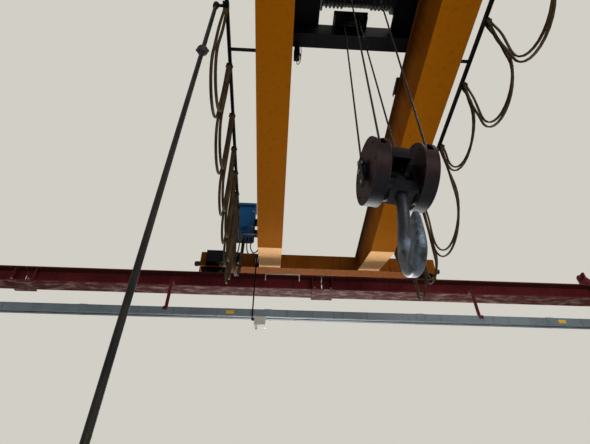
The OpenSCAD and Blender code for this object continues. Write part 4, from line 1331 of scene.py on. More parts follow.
@dataclass
class HoistRopes:
    """The four falls, the turns on the drum and the bights round the sheaves.

    Attributes:
        sheave: the rope's radius round a block sheave.
        radius: the rope's own radius.
        lay: length of one full turn of its strands.
        drum: the middle of the drum.
        drum_radius: the rope's radius round the drum.
        drum_length: the drum's length.
        leads: where the ropes leave the drum.
        balance: the middle of the balance sheave.
        balance_radius: the rope's radius round it.
    """

    sheave: float = 0.22
    radius: float = 0.010
    lay: float = 0.13
    drum: Point = (0.043, -5.110, 1.515)
    drum_radius: float = 0.20
    drum_length: float = 0.96
    leads: tuple[float, float] = (-0.139, 0.225)
    balance: Point = (-0.034, -4.860, 1.215)
    balance_radius: float = 0.103

    def on_block(self, along: float, out: float, up: float) -> Vector:
        """A point given along the block's axle, across it and up."""
        c, s = math.cos(math.radians(BLOCK_TURN)), math.sin(math.radians(BLOCK_TURN))
        return Vector(BLOCK_MIDDLE) + Vector((along * c - out * s, along * s + out * c, up))

    def build(self) -> None:
        """Stretch the falls and wind the rest."""
        section = rope_section(self.radius)
        d, b = Vector(self.drum), Vector(self.balance)
        falls = []
        for way, lead in zip((-1, 1), self.leads):
            drum_side = self.on_block(way * SHEAVE_OUT, -self.sheave, 0)
            falls.append((Vector((lead, d.y - self.drum_radius, d.z)), drum_side))
            balance_side = self.on_block(way * SHEAVE_OUT, self.sheave, 0)
            falls.append((b + Vector((way * self.balance_radius, 0, 0)), balance_side))
        # Steps of about 14 mm, fine enough to show the lay of the strands
        steps = 260
        for i, (top, low) in enumerate(falls):
            route = [top.lerp(low, k / steps) for k in range(steps + 1)]
            name = f"hoist_fall_{i + 1}"
            cord = Cord(name, route, section, 2 * self.radius, ROPE_WIRE, lay="taut", twist=self.lay)
            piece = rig.replaces(cord.build(), "hoist_rope")
            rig.blend(piece, "trolley", "block", start=(0, 0, top.z), end=(0, 0, low.z))
            cord.declare(piece)
        self.bights(section)
        self.turns()

    def bights(self, section: list[tuple[float, float]]) -> None:
        """Lay the rope round the undersides of the block's sheaves and over the balance sheave.

        Args:
            section: the rope's outline.
        """
        form = Form()
        for way in (-1, 1):
            path = []
            for a in (math.pi * (1 + k / 60) for k in range(61)):
                out, up = self.sheave * math.cos(a), self.sheave * math.sin(a)
                path.append(self.on_block(way * SHEAVE_OUT, out, up))
            form.swept(path, section, (1, 0, 0), self.lay)
        settle(form.finish("block_rope_bights", ROPE_WIRE, SOFT_CREASE), "block")
        path = []
        for a in (math.pi * k / 40 for k in range(41)):
            path.append(Vector(self.balance) + Vector((math.cos(a), 0, math.sin(a))) * self.balance_radius)
        form = Form().swept(path, section, (0, 1, 0), self.lay)
        settle(form.finish("balance_rope_bight", ROPE_WIRE, SOFT_CREASE), "trolley")

    def turns(self) -> None:
        """Wind the turns that lie in the drum's grooves, from each end to its lead."""
        form = Form()
        d = Vector(self.drum)
        pitch = self.drum_length / 18
        for way, lead in zip((-1, 1), self.leads):
            outer = d.x + way * (self.drum_length / 2 - 0.03)
            count = int(abs(lead - outer) / pitch * 40)
            path = []
            for k in range(count + 1):
                a = math.pi - way * math.tau * (count - k) / 40
                y, z = d.y + self.drum_radius * math.cos(a), d.z + self.drum_radius * math.sin(a)
                path.append(Vector((outer + (lead - outer) * k / count, y, z)))
            form.swept(path, circle(self.radius * 0.95, 8), (1, 0, 0))
        settle(form.finish("drum_rope_turns", ROPE_WIRE, SOFT_CREASE), "trolley")


@dataclass
class HookBlock:
    """Fittings of the block, and the forged hook itself.

    Attributes:
        guard_radius: the sheave guards' radius.
        guard_width: their width.
        rivets: how far their rivets are from the axle.
        cheek_x: where the cheek plates are along the axle.
        cheek_thick: their thickness.
        hood_end: where the hood's end plate is.
        cross_drop: how far the crosshead is below the axle.
        bowl_drop: how far the middle of the hook's bowl is below it.
        shank: the shank's radius.
        shank_top: its height above the middle of the bowl.
        mouth: the radius of the bowl's inside.
        depth: the depth of the hook's section at the bowl.
        width: its width there.
        bowl_from: where the bowl starts, as a share of the hook's run.
        tip_from: where the tip starts.
        hook_turn: how far the hook is turned about its shank, in degrees.
    """

    guard_radius: float = 0.275
    guard_width: float = 0.112
    rivets: float = 0.232
    cheek_x: float = 0.104
    cheek_thick: float = 0.026
    hood_end: float = 0.05
    cross_drop: float = 0.2
    bowl_drop: float = 0.725
    shank: float = 0.05
    shank_top: float = 0.457
    mouth: float = 0.084
    depth: float = 0.148
    width: float = 0.118
    bowl_from: float = 0.348
    tip_from: float = 0.739
    hook_turn: float = 90.0

    def put(self, form: Form, name: str, finish: Finish) -> None:
        """Turn a form drawn along the axle into place and let it ride on the block.

        Args:
            form: the form, with the axle along X at the origin.
            name: the piece's name.
            finish: what it is made of.
        """
        turn = Matrix.Rotation(math.radians(BLOCK_TURN), 4, "Z")
        form.mesh.transform(Matrix.Translation(Vector(BLOCK_MIDDLE)) @ turn)
        settle(form.finish(name, finish), "block")

    def build(self) -> None:
        """Make the rims, bolts, keepers and the hook."""
        rims, hubs, heads = Form(), Form(), Form()
        r = self.guard_radius
        rim = [(r - 0.010, 0.011), (r - 0.004, 0.0155), (r + 0.002, 0.0135)]
        rim += [(r + 0.0035, 0.006), (r + 0.002, 0.0)]
        hub = [(0.088, 0), (0.088, 0.005), (0.083, 0.008), (0.070, 0.008)]
        rivet = [(0.0105, 0), (0.0105, 0.003), (0.008, 0.006), (0.003, 0.0075)]
        for way in (-1, 1):
            for face in (-1, 1):
                x = way * SHEAVE_OUT + face * self.guard_width / 2
                rims.turned((x - face * 0.012, 0, 0), (face, 0, 0), rim, 72)
                hubs.turned((x, 0, 0), (face, 0, 0), hub, 36)
                for y, z in circle(self.rivets, 8, 22.5):
                    heads.turned((x, y, z), (face, 0, 0), rivet, 10)
        self.put(rims, "guard_rims", GUARD_MAROON)
        self.put(hubs, "guard_hub_rings", MACHINE_BLACK)
        self.put(heads, "guard_rivets", GUARD_MAROON)
        self.put(self.keepers(), "block_fasteners", ZINC)
        bolts = Form()
        for y, z in circle(0.19, 18, 20)[:8]:
            bolts.stub((self.hood_end, y, z), (1, 0, 0), 0.010, 0.008)
        self.put(bolts, "hood_bolts", ZINC)
        self.hook()

    def keepers(self) -> Form:
        """Bolts of the axle keepers and of the cheek plates, with the grease nipples.

        Returns:
            The form, drawn along the axle.
        """
        form = Form()
        nipple = [(0.010, 0), (0.010, 0.008), (0.005, 0.010), (0.005, 0.018), (0.003, 0.020)]
        for way in (-1, 1):
            along = (way, 0, 0)
            out = way * (SHEAVE_OUT + self.guard_width / 2 + 0.036)
            for y in (-0.055, 0.055):
                form.stub((out + way * 0.008, y, 0.036), along, 0.011, 0.009)
            for z in (-0.13, 0.095):
                form.stub((out + way * 0.014, 0, z), along, 0.014, 0.011, (0.003, 0.002))
            form.turned((out + way * 0.014, 0, -0.005), along, nipple, 10)
            for middle, radius in ((0.0, 0.07), (-self.cross_drop, 0.058)):
                for y, z in circle(radius, 4, 45):
                    form.stub((way * (self.cheek_x + self.cheek_thick), y, middle + z), along, 0.009, 0.008)
        return form

    def hook(self) -> None:
        """Forge the hook: shank, shoulder, bowl and tapering tip in one skin."""
        form = Form()
        last, sides = 87, 36
        path = [self.hook_line(j / last) for j in range(last + 1)]
        rings = []
        for j, point in enumerate(path):
            u = j / last
            ahead = (path[min(j + 1, last)] - path[max(j - 1, 0)]).normalized()
            out = Vector((-ahead.z, 0, ahead.x))
            half_w, half_d = self.hook_size(u)
            # Round at the shank, and flat-sided with firm edges from the shoulder to the tip
            square = 0.95 - 0.45 * min(1.0, max(0.0, (u - 0.16) / 0.16))
            ring = []
            for c, s in circle(1.0, sides):
                # The section is a rounded wedge: wide on the inside of the bowl, narrow on its back
                narrow = 0.88 - 0.13 * c * min(1.0, 3 * u)
                deep = out * half_d * math.copysign(abs(c) ** square, c)
                wide = Vector((0, half_w * narrow * math.copysign(abs(s) ** square, s), 0))
                ring.append(form.mesh.verts.new(point + deep + wide))
            rings.append(ring)
        form.skin(rings)
        # The shank runs on up through the crosshead and ends in its thread
        r, neck = self.shank, self.bowl_drop - self.cross_drop + 0.13
        profile = [(r - 0.002, self.shank_top - 0.06), (r, self.shank_top - 0.05), (r, neck - 0.05)]
        for k in range(7):
            profile += [(r, neck - 0.045 + 0.006 * k), (r - 0.004, neck - 0.045 + 0.006 * k)]
        form.turned((0, 0, 0), (0, 0, 1), profile + [(r - 0.006, neck)], 32)
        middle = Vector(BLOCK_MIDDLE) - Vector((0, 0, self.bowl_drop))
        turn = Matrix.Rotation(math.radians(self.hook_turn), 4, "Z")
        form.mesh.transform(Matrix.Translation(middle) @ turn)
        settle(form.finish("forged_hook", FORGED, 28.0), "hook", "hook")

    def hook_line(self, u: float) -> Vector:
        """A point of the hook's middle line in its own plane.

        Args:
            u: how far along the hook, from 0 at the shank to 1 at the tip.

        Returns:
            The point, with the bowl's middle at the origin.
        """
        reach = self.mouth + self.depth / 2
        inner = reach - 0.006
        if u < self.bowl_from:
            t = u / self.bowl_from
            points = ((0, self.shank_top), (0, 0.267), (inner, 0.190), (inner, 0))
        elif u < self.tip_from:
            a = math.radians(135 * (u - self.bowl_from) / (self.tip_from - self.bowl_from))
            r = inner + math.degrees(a) / 22000
            return Vector((r * math.cos(a), 0, -r * math.sin(a)))
        else:
            t = (u - self.tip_from) / (1 - self.tip_from)
            points = ((-0.707 * reach, -0.707 * reach), (-0.86 * reach, -0.56 * reach),
                      (-1.02 * reach, -0.1 * reach), (-reach - 0.012, 0.150))
        weights = ((1 - t) ** 3, 3 * t * (1 - t) ** 2, 3 * t * t * (1 - t), t**3)
        x, z = (sum(w * p[i] for w, p in zip(weights, points)) for i in (0, 1))
        return Vector((x, 0, z))

    def hook_size(self, u: float) -> tuple[float, float]:
        """Size of the hook's section.

        Args:
            u: how far along the hook, from 0 at the shank to 1 at the tip.

        Returns:
            Half its width and half its depth.
        """
        full = (self.width / 2, self.depth / 2)
        if u < 0.6:
            grow = math.sin(math.radians(150 * u))
            wide, deep = (self.shank + (half - self.shank) * grow for half in full)
            return wide, deep
        grow = 1 - 0.45 * ((u - 0.6) / 0.4) ** 1.5
        end = max(0.02, 1 - max(0.0, (u - 0.965) / 0.035) ** 2.2) ** 0.5
        return full[0] * grow * end, full[1] * grow * end


@dataclass
class Runway:
    """Rail clips and anchor nuts of the two runway beams.

    Attributes:
        seats: where the beams are anchored.
        rows: the two beams' names and places.
        flange_top: the height of their top flange.
        foot: half the width of the rail's foot.
        pitch: from one rail clip to the next.
        anchor: how far an anchor is from its seat's middle, both ways.
    """

    seats: tuple[float, ...] = (-11.6, -5.8, 0.0, 5.8)
    rows: tuple[tuple[str, float], ...] = (("far", 0.0), ("near", -12.0))
    flange_top: float = 0.36
    foot: float = 0.0625
    pitch: float = 0.58
    anchor: float = 0.16

    def build(self) -> None:
        """Fasten the rails and the seats."""
        xs = [self.seats[0] + self.pitch / 2 + self.pitch * i for i in range(30)]
        ends = (-self.anchor, self.anchor)
        for name, y in self.rows:
            for way, word in ((-1, "front"), (1, "back")):
                clip = Form().box((-0.03, -0.022, 0), (0.03, 0.022, 0.014), 0.003)
                lip = (-0.032, -0.010) if way > 0 else (0.010, 0.032)
                clip.box((-0.03, lip[0], 0.008), (0.03, lip[1], 0.020), 0.003)
                profile = [(0.016, 0), (0.016, 0.004), (0.013, 0.005), (0.013, 0.016), (0.010, 0.018)]
                clip.turned((0, way * 0.004, 0.012), (0, 0, 1), profile, 6)
                places = [(x, y + way * (self.foot + 0.024), self.flange_top) for x in xs]
                PATTERN.lay(f"rail_clips_{name}_{word}", clip, places, RAIL, "runway")
            places = [(x + dx, y + dy, 0.02) for x in self.seats for dx in ends for dy in ends]
            nut = bolt((0, 0, 1), 0.024, 0.03)
            PATTERN.lay(f"anchor_nuts_{name}", nut, places, ZINC, "runway", spin=1.0)


@dataclass
class PowerLine:
    """Sleeves and bare marker plates along the power duct.

    Attributes:
        y: where the duct is.
        low: the height of its underside.
        high: the height of its top.
        half: half its width.
        sleeves: where its lengths are joined.
        plates: where its marker plates are.
    """

    y: float = -0.30
    low: float = -0.741
    high: float = -0.591
    half: float = 0.06
    sleeves: tuple[float, ...] = (-10.3, -7.3, -4.35, -1.05, 1.75, 4.2)
    plates: tuple[float, ...] = (-8.2, -1.73, 4.42)

    def build(self) -> None:
        """Put the sleeves and plates on the duct."""
        sleeve = Form()
        h, outer = self.high - self.low, self.half + 0.005
        sleeve.box((-0.07, -outer, 0.0), (0.07, -self.half, h), 0.001)
        sleeve.box((-0.07, self.half, 0.0), (0.07, outer, h), 0.001)
        sleeve.box((-0.07, -outer, h), (0.07, outer, h + 0.005), 0.001)
        for way in (-1, 1):
            for x in (-0.045, 0.045):
                sleeve.stub((x, way * outer, h * 0.5), (0, way, 0), 0.008, 0.006, (0.002, 0.001), 8)
        places = [(x, self.y, self.low) for x in self.sleeves]
        PATTERN.lay("duct_sleeves", sleeve, places, DUCT_GREY, "runway")
        plate = Form().box((-0.07, -0.002, -0.035), (0.07, 0.0, 0.035), 0.0008)
        places = [(x, self.y - self.half, (self.low + self.high) / 2) for x in self.plates]
        PATTERN.lay("duct_marker_plates", plate, places, LABEL_YELLOW, "runway")


@dataclass
class Girders:
    """Weld beads, end plate bolts and the trolley rails' clips on the two box girders.

    Attributes:
        middles: where the girders are.
        half_web: from a girder's middle to the face of its web.
        low: the height of the underside's plate.
        high: the height of the top plate's face.
        rise: how much higher the underside is at the ends.
        taper: how long the sloping ends are.
        y_far: where the girders end at the far carriage.
        y_near: where they end at the near one.
        bolt_x: how far an end plate's bolts are from the middle.
        bolt_z: their heights.
    """

    middles: tuple[float, float] = (-1.055, 0.955)
    half_web: float = 0.19
    low: float = 0.065
    high: float = 0.965
    rise: float = 0.46
    taper: float = 1.17
    y_far: float = -0.155
    y_near: float = -11.845
    bolt_x: float = 0.203
    bolt_z: tuple[float, ...] = (0.60, 0.70, 0.80, 0.90)

    def build(self) -> None:
        """Run the beads and set the bolts and clips."""
        for name, x in zip(("left", "right"), self.middles):
            beads = Form()
            for way in (-1, 1):
                self.weld(beads, x + way * (self.half_web + 0.001), way)
            settle(beads.finish(f"weld_beads_{name}", GIRDER_ORANGE, SOFT_CREASE), "bridge")
            for end, y, way in (("far", self.y_far, -1), ("near", self.y_near, 1)):
                places = [(x + dx, y, z) for dx in (-self.bolt_x, self.bolt_x) for z in self.bolt_z]
                head = bolt((0, way, 0), 0.020)
                piece = f"end_plate_bolts_{name}_{end}"
                PATTERN.lay(piece, head, places, GIRDER_ORANGE, "bridge", (0, 1, 0), 1.0)
            clip = Form().box((-0.02, -0.03, 0), (0.02, 0.03, 0.010), 0.002)
            clip.stub((0, 0, 0.010), (0, 0, 1), 0.011, 0.009, (0.003, 0.001))
            places = [(x + way * 0.048, -11.6 + 0.6 * i, self.high) for i in range(19) for way in (-1, 1)]
            PATTERN.lay(f"trolley_rail_clips_{name}", clip, places, RAIL, "bridge")

    def weld(self, beads: Form, x: float, way: int) -> None:
        """Run one bead along a web's foot and one under the top plate.

        Args:
            beads: the form to add them to.
            x: where the web's face is.
            way: 1 where it faces right, or -1 where it faces left.
        """
        tee = [(0.010, 0.0), (0.004, 0.004), (0.0, 0.010), (-0.003, 0.0), (0.0, -0.003)]
        bead = [(u * way, v) for u, v in tee]
        near, far, raised = self.y_near + 0.02, self.y_far - 0.02, self.low + self.rise
        knots = [(near, raised), (self.y_near + self.taper, self.low), (self.y_far - self.taper, self.low),
                 (far, raised)]
        path = []
        for (ya, za), (yb, zb) in zip(knots, knots[1:]):
            count = max(2, round(abs(yb - ya) / 0.25))
            for k in range(count):
                path.append(Vector((x, ya + (yb - ya) * k / count, za + (zb - za) * k / count + 0.015)))
        path.append(Vector((x, far, raised + 0.015)))
        beads.swept(path, bead, (1, 0, 0))
        beads.swept([Vector((x, y, self.high - 0.0145)) for y in (near, far)], bead, (1, 0, 0))


@dataclass
class Carriages:
    """Axle caps, rail sweeps and drive details of the end carriages.

    Attributes:
        middle: the carriages' middle along the runway.
        wheelbase: from axle to axle.
        length: over the carriages' end plates.
        half_width: from a carriage's middle to its flank.
        wheel_z: the height of the axles.
        low: the height of the carriages' underside.
        rows: the far and the near carriage's place.
        sweep_foot: the height of the rail sweeps' lower edge, just above the rail.
    """

    middle: float = -0.05
    wheelbase: float = 4.3
    length: float = 4.84
    half_width: float = 0.14
    wheel_z: float = 0.625
    low: float = 0.525
    rows: tuple[float, float] = (0.0, -12.0)
    sweep_foot: float = 0.432

    def build(self) -> None:
        """Set the caps, sweeps and motor fins."""
        profile = [(0.080, 0), (0.085, 0.004), (0.085, 0.020), (0.080, 0.024)]
        cap = Form().turned((0, -0.012, 0), (0, 1, 0), profile, 32)
        for x, z in circle(0.066, 4, 45):
            for way in (-1, 1):
                cap.stub((x, way * 0.012, z), (0, way, 0), 0.010, 0.008)
        places = [(self.middle + s * self.wheelbase / 2, y + w * self.half_width, self.wheel_z)
                  for y in self.rows for s in (-1, 1) for w in (-1, 1)]
        PATTERN.lay("axle_caps", cap, places, MACHINE_BLACK, "bridge")
        sweeps = Form()
        for y in self.rows:
            for s in (-1, 1):
                x = self.middle + s * (self.length / 2 + 0.004)
                foot = (x - 0.004, y - 0.06, self.sweep_foot)
                sweeps.box(foot, (x + 0.004, y + 0.06, self.low + 0.045), 0.002)
        settle(sweeps.finish("rail_sweeps", CARRIAGE_ORANGE_SHADED), "bridge")
        for name, y, way in (("far", self.rows[0], -1), ("near", self.rows[1], 1)):
            self.motor(f"travel_motor_fins_{name}", y + way * (self.half_width + 0.125))

    def motor(self, name: str, y: float) -> None:
        """Ring a travel motor with cooling fins and a fan cowl.

        Args:
            name: the piece's name.
            y: where the motor's middle is.
        """
        x, z = self.middle - self.wheelbase / 2 + 0.19, self.wheel_z + 0.02
        fins = Form().fins((0, y, z), 28, (x + 0.165, 0.112, 0), (0.27, 0.022, 0.004), 1, 0.25)
        cowl = [(0.112, 0), (0.116, 0.006), (0.114, 0.07), (0.100, 0.088), (0.0855, 0.092)]
        fins.turned((x + 0.30, y, z), (1, 0, 0), cowl, 32)
        settle(fins.finish(name, MACHINE_BLACK), "bridge")


@dataclass
class Cabinet:
    """Door furniture, vent, glands and wiring of the control cabinet.

    Attributes:
        x0: where its left side is.
        x1: where its right side is.
        y0: where its door frame is.
        low: the height of its underside.
        gland_y: where its glands are.
    """

    x0: float = -1.740
    x1: float = -1.365
    y0: float = -1.200
    low: float = 0.445
    gland_y: float = -1.075

    def build(self) -> None:
        """Make the door's hinges, locks, rib and vent, and the glands with their wiring."""
        face = self.y0 - 0.010
        metal = Form()
        hinge = [(0.007, 0), (0.008, 0.003), (0.008, 0.057), (0.007, 0.06)]
        for z in (self.low + 0.16, self.low + 0.40, self.low + 0.64):
            metal.turned((self.x0 + 0.012, face - 0.004, z - 0.03), (0, 0, 1), hinge, 12)
        lock = [(0.016, 0), (0.016, 0.006), (0.012, 0.008), (0.012, 0.014)]
        x = self.x1 - 0.035
        for z in (self.low + 0.20, self.low + 0.60):
            metal.turned((x, face, z), (0, -1, 0), lock, 20)
            metal.box((x - 0.003, face - 0.018, z - 0.014), (x + 0.003, face - 0.012, z + 0.014), 0.001)
        settle(metal.finish("cabinet_hinges_and_locks", ZINC), "bridge")
        rib = Form()
        wide = 0.006
        left, right, foot, head = self.x0 + 0.03, self.x1 - 0.03, self.low + 0.09, self.low + 0.70
        for xa, za, xb, zb in ((left, foot, right, foot + wide), (left, head, right, head + wide),
                               (left, foot, left + wide, head), (right - wide, foot, right, head)):
            rib.box((xa, face - 0.004, za), (xb, face, zb), 0.0015)
        settle(rib.finish("cabinet_door_rib", CABINET_BLUE), "bridge")
        slat = Form().box((-0.07, -0.008, -0.004), (0.07, 0.0, 0.004), 0.0025)
        places = [((self.x0 + self.x1) / 2, face, self.low + 0.13 + 0.016 * k) for k in range(6)]
        PATTERN.lay("cabinet_vent_slats", slat, places, CABINET_BLUE, "bridge")
        nut = Form().stub((0, 0, 0), (0, 0, -1), 0.023, 0.016)
        nut.turned((0, 0, 0), (0, 0, -1), [(0.018, 0.01), (0.018, 0.036), (0.014, 0.052)], 14)
        xs = [self.x0 + 0.05 + k * 0.275 / 4 for k in range(5)]
        places = [(x, self.gland_y, self.low) for x in xs]
        PATTERN.lay("cabinet_gland_nuts", nut, places, BUFFER_RUBBER, "bridge", spin=1.0)
        self.tails(xs)

    def tails(self, xs: Sequence[float]) -> None:
        """Lead stiff wiring from the outer glands to the travel motor and into the girder.

        Args:
            xs: where the glands are along the cabinet.
        """
        wires = Form()
        foot = self.low - 0.046
        for k, x in enumerate(xs[:2]):
            self.wire(wires, 0.011, (
                (x, self.gland_y, foot), (x, -1.07, foot - 0.10), (x - 0.03, -0.97, foot - 0.20),
                (-1.77 + 0.03 * k, -0.76, foot - 0.21), (-1.84 + 0.03 * k, -0.54, foot - 0.06),
                (-1.88 + 0.04 * k, -0.42, 0.47), (-1.89 + 0.05 * k, -0.395, 0.59),
            ))
        for k, x in enumerate(xs[3:]):
            self.wire(wires, 0.010, (
                (x, self.gland_y, foot), (x, -1.07, foot - 0.08), (x + 0.01, -1.03, foot - 0.17 + 0.03 * k),
                (x + 0.05, -0.96, foot - 0.20 + 0.04 * k), (-1.315, -0.90, foot - 0.10),
                (-1.270, -0.87, foot + 0.01), (-1.246, -0.86, foot + 0.03),
            ))
        settle(wires.finish("cabinet_wiring", ROUND_CABLE, SOFT_CREASE), "bridge")
        case = Form().box((-1.935, -0.435, 0.585), (-1.795, -0.350, 0.700), 0.006)
        settle(case.finish("travel_motor_terminal_box", MACHINE_BLACK), "bridge")

    def wire(self, wires: Form, radius: float, route: Sequence[Point]) -> None:
        """Lead one wire of that radius through the points of its route."""
        wires.swept(curve_through(route, 0.03), circle(radius, 10), (1, 0, 0))


@dataclass
class Hoist:
    """Fins, lids and fasteners of the hoist machinery on the trolley.

    Attributes:
        frame_top: the height of the trolley frame's top.
        gear_x: where the gearbox starts.
        y: the trolley's middle.
        joint_z: the heights of the gearbox's joint flange.
    """

    frame_top: float = 1.365
    gear_x: float = 0.583
    y: float = -5.09
    joint_z: tuple[float, float] = (1.50, 1.524)

    def build(self) -> None:
        """Dress the motor, gearbox, resistor box and frame."""
        x, y, z = self.gear_x, self.y - 0.58, self.frame_top + 0.17
        fins = Form().fins((0, y, z), 36, (x - 0.51, 0.158, 0), (0.46, 0.024, 0.005), -1, 0.2)
        cowl = [(0.151, 0), (0.156, 0.008), (0.154, 0.06), (0.136, 0.072)]
        fins.turned((x - 0.80, y, z), (-1, 0, 0), cowl, 36)
        settle(fins.finish("hoist_motor_fins", MACHINE_BLACK), "trolley")
        foot, top = self.joint_z
        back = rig.box("hoist_gearbox")[1].y
        joint = Form().box((x - 0.012, self.y - 0.715, foot), (x + 0.202, back, top), 0.004)
        settle(joint.finish("gearbox_joint_flange", MACHINE_BLACK), "trolley")
        places = [(x + dx, self.y - 0.69 + 0.1 * k, top) for dx in (-0.004, 0.194) for k in range(9)]
        PATTERN.lay("gearbox_bolts", bolt((0, 0, 1), 0.012), places, ZINC, "trolley", spin=1.0)
        self.resistors()
        places = [(-0.05 + s * 0.91, self.y + w * 0.47 + d, self.frame_top)
                  for s in (-1, 1) for w in (-1, 1) for d in (-0.07, 0.07)]
        PATTERN.lay("frame_joint_bolts", bolt((0, 0, 1), 0.020, 0.01), places, ZINC, "trolley", spin=1.0)

    def resistors(self) -> None:
        """Close the resistor box with a lid and set its louvres."""
        lo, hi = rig.box("resistor_box")
        low = (lo.x - 0.012, lo.y - 0.012, hi.z - 0.02)
        lid = Form().box(low, (hi.x + 0.012, hi.y + 0.012, hi.z + 0.006), 0.004)
        settle(lid.finish("resistor_lid", MACHINE_BLACK), "trolley")
        slat = Form().box((lo.x - 0.006, lo.y + 0.03, -0.003), (lo.x + 0.018, hi.y - 0.03, 0.001), 0.0012)
        across = (0, hi.x - lo.x - 0.012)
        places = [(dx, 0, hi.z - 0.32 + 0.035 * k + 0.017) for k in range(8) for dx in across]
        PATTERN.lay("resistor_slats", slat, places, MACHINE_BLACK, "trolley")


@dataclass
class TravelSwitch:
    """Limit switch on the trolley's far cross beam and its striker on the right girder.

    Attributes:
        x: where the switch is.
        beam_face: where the cross beam's face is.
        top: the height of the switch's bracket.
        striker_y: the striker's middle along the girder.
        flange_edge: the inner edge of the girder's top plate.
    """

    x: float = -0.760
    beam_face: float = -4.520
    top: float = 1.150
    striker_y: float = -4.060
    flange_edge: float = 0.740

    def build(self) -> None:
        """Hang the switch with its lever and loose wires, and set the striker."""
        x, y, z = self.x, self.beam_face, self.top
        plate = Form().box((x - 0.035, y - 0.002, z - 0.10), (x + 0.035, y + 0.008, z), 0.002)
        plate.box((x - 0.035, y + 0.004, z - 0.108), (x + 0.035, y + 0.150, z - 0.098), 0.002)
        plate.box((x - 0.040, y + 0.030, z - 0.270), (x + 0.040, y + 0.120, z - 0.104), 0.006)
        px, py, pz = x + 0.036, y + 0.075, z - 0.160
        plate.turned((px, py, pz), (1, 0, 0), [(0.020, 0), (0.020, 0.014), (0.014, 0.018)], 16)
        plate.box((px + 0.012, py - 0.010, pz - 0.100), (px + 0.020, py + 0.010, pz + 0.012), 0.002)
        plate.turned((px + 0.010, py, pz - 0.100), (1, 0, 0), [(0.018, 0), (0.018, 0.014)], 16)
        settle(plate.finish("trolley_limit_switch", MACHINE_BLACK), "trolley")
        wires = Form()
        low = z - 0.266
        for dx, dy, drop in ((-0.018, 0.052, 0.10), (0.004, 0.098, 0.16)):
            a, b = x + dx, y + dy
            route = ((a, b, low), (a, b, low - 0.6 * drop), (a + 0.012, b - 0.02, low - drop),
                     (a + 0.040, b - 0.04, low - 0.8 * drop), (a + 0.055, y + 0.012, low + 0.03),
                     (a + 0.052, y - 0.004, low + 0.22))
            wires.swept(curve_through(route, 0.015), circle(0.005, 8), (1, 0, 0))
        settle(wires.finish("limit_switch_wires", ROUND_CABLE, SOFT_CREASE), "trolley")
        left, near, far = self.flange_edge - 0.045, self.striker_y - 0.14, self.striker_y + 0.14
        striker = Form().box((left, near, 0.952), (self.flange_edge + 0.002, far, 0.960), 0.002)
        striker.box((left, near, 0.890), (left + 0.008, far, 0.956), 0.002)
        settle(striker.finish("travel_striker", MACHINE_BLACK), "bridge")


@dataclass
class Supply:
    """The cable from the junction box to the far carriage.

    Attributes:
        radius: its radius.
        points: points that it passes, from the junction box on.
    """

    radius: float = 0.013
    points: tuple[Point, ...] = (
        (1.190, -1.260, 0.1547), (1.190, -1.260, 0.100), (1.202, -1.244, 0.030), (1.260, -1.180, -0.060),
        (1.360, -1.000, -0.120), (1.500, -0.780, -0.060), (1.640, -0.560, 0.080), (1.760, -0.390, 0.260),
        (1.840, -0.290, 0.400), (1.890, -0.230, 0.520), (1.906, -0.206, 0.620), (1.910, -0.190, 0.680),
        (1.910, -0.172, 0.700), (1.910, -0.1403, 0.700),
    )

    def build(self) -> None:
        """Hang the cable."""
        route = curve_through(self.points, 0.04)
        cord = Cord("supply_cord", route, circle(self.radius, 12), 2 * self.radius, FLAT_CABLE)
        cord.declare(settle(cord.build(), "bridge", "supply_cable"))


@dataclass(frozen=True)
class Lamp:
    """One soft square lamp.

    Attributes:
        name: its name.
        place: where it is.
        target: what it points at.
        power: its power in watts.
        size: the side of its square.
        spread: the angle that its light fills, in degrees.
    """

    name: str
    place: Point
    target: Point
    power: float
    size: float
    spread: float = 180.0

    def hang(self) -> None:
        """Put it in the scene."""
        data = bpy.data.lights.new(self.name, "AREA")
        data.energy, data.size = self.power, self.size
        data.spread = math.radians(self.spread)
        lamp = bpy.data.objects.new(self.name, data)
        lamp.location = self.place
        lamp.rotation_euler = (Vector(self.target) - Vector(self.place)).to_track_quat("-Z", "Y").to_euler()
        bpy.context.scene.collection.objects.link(lamp)


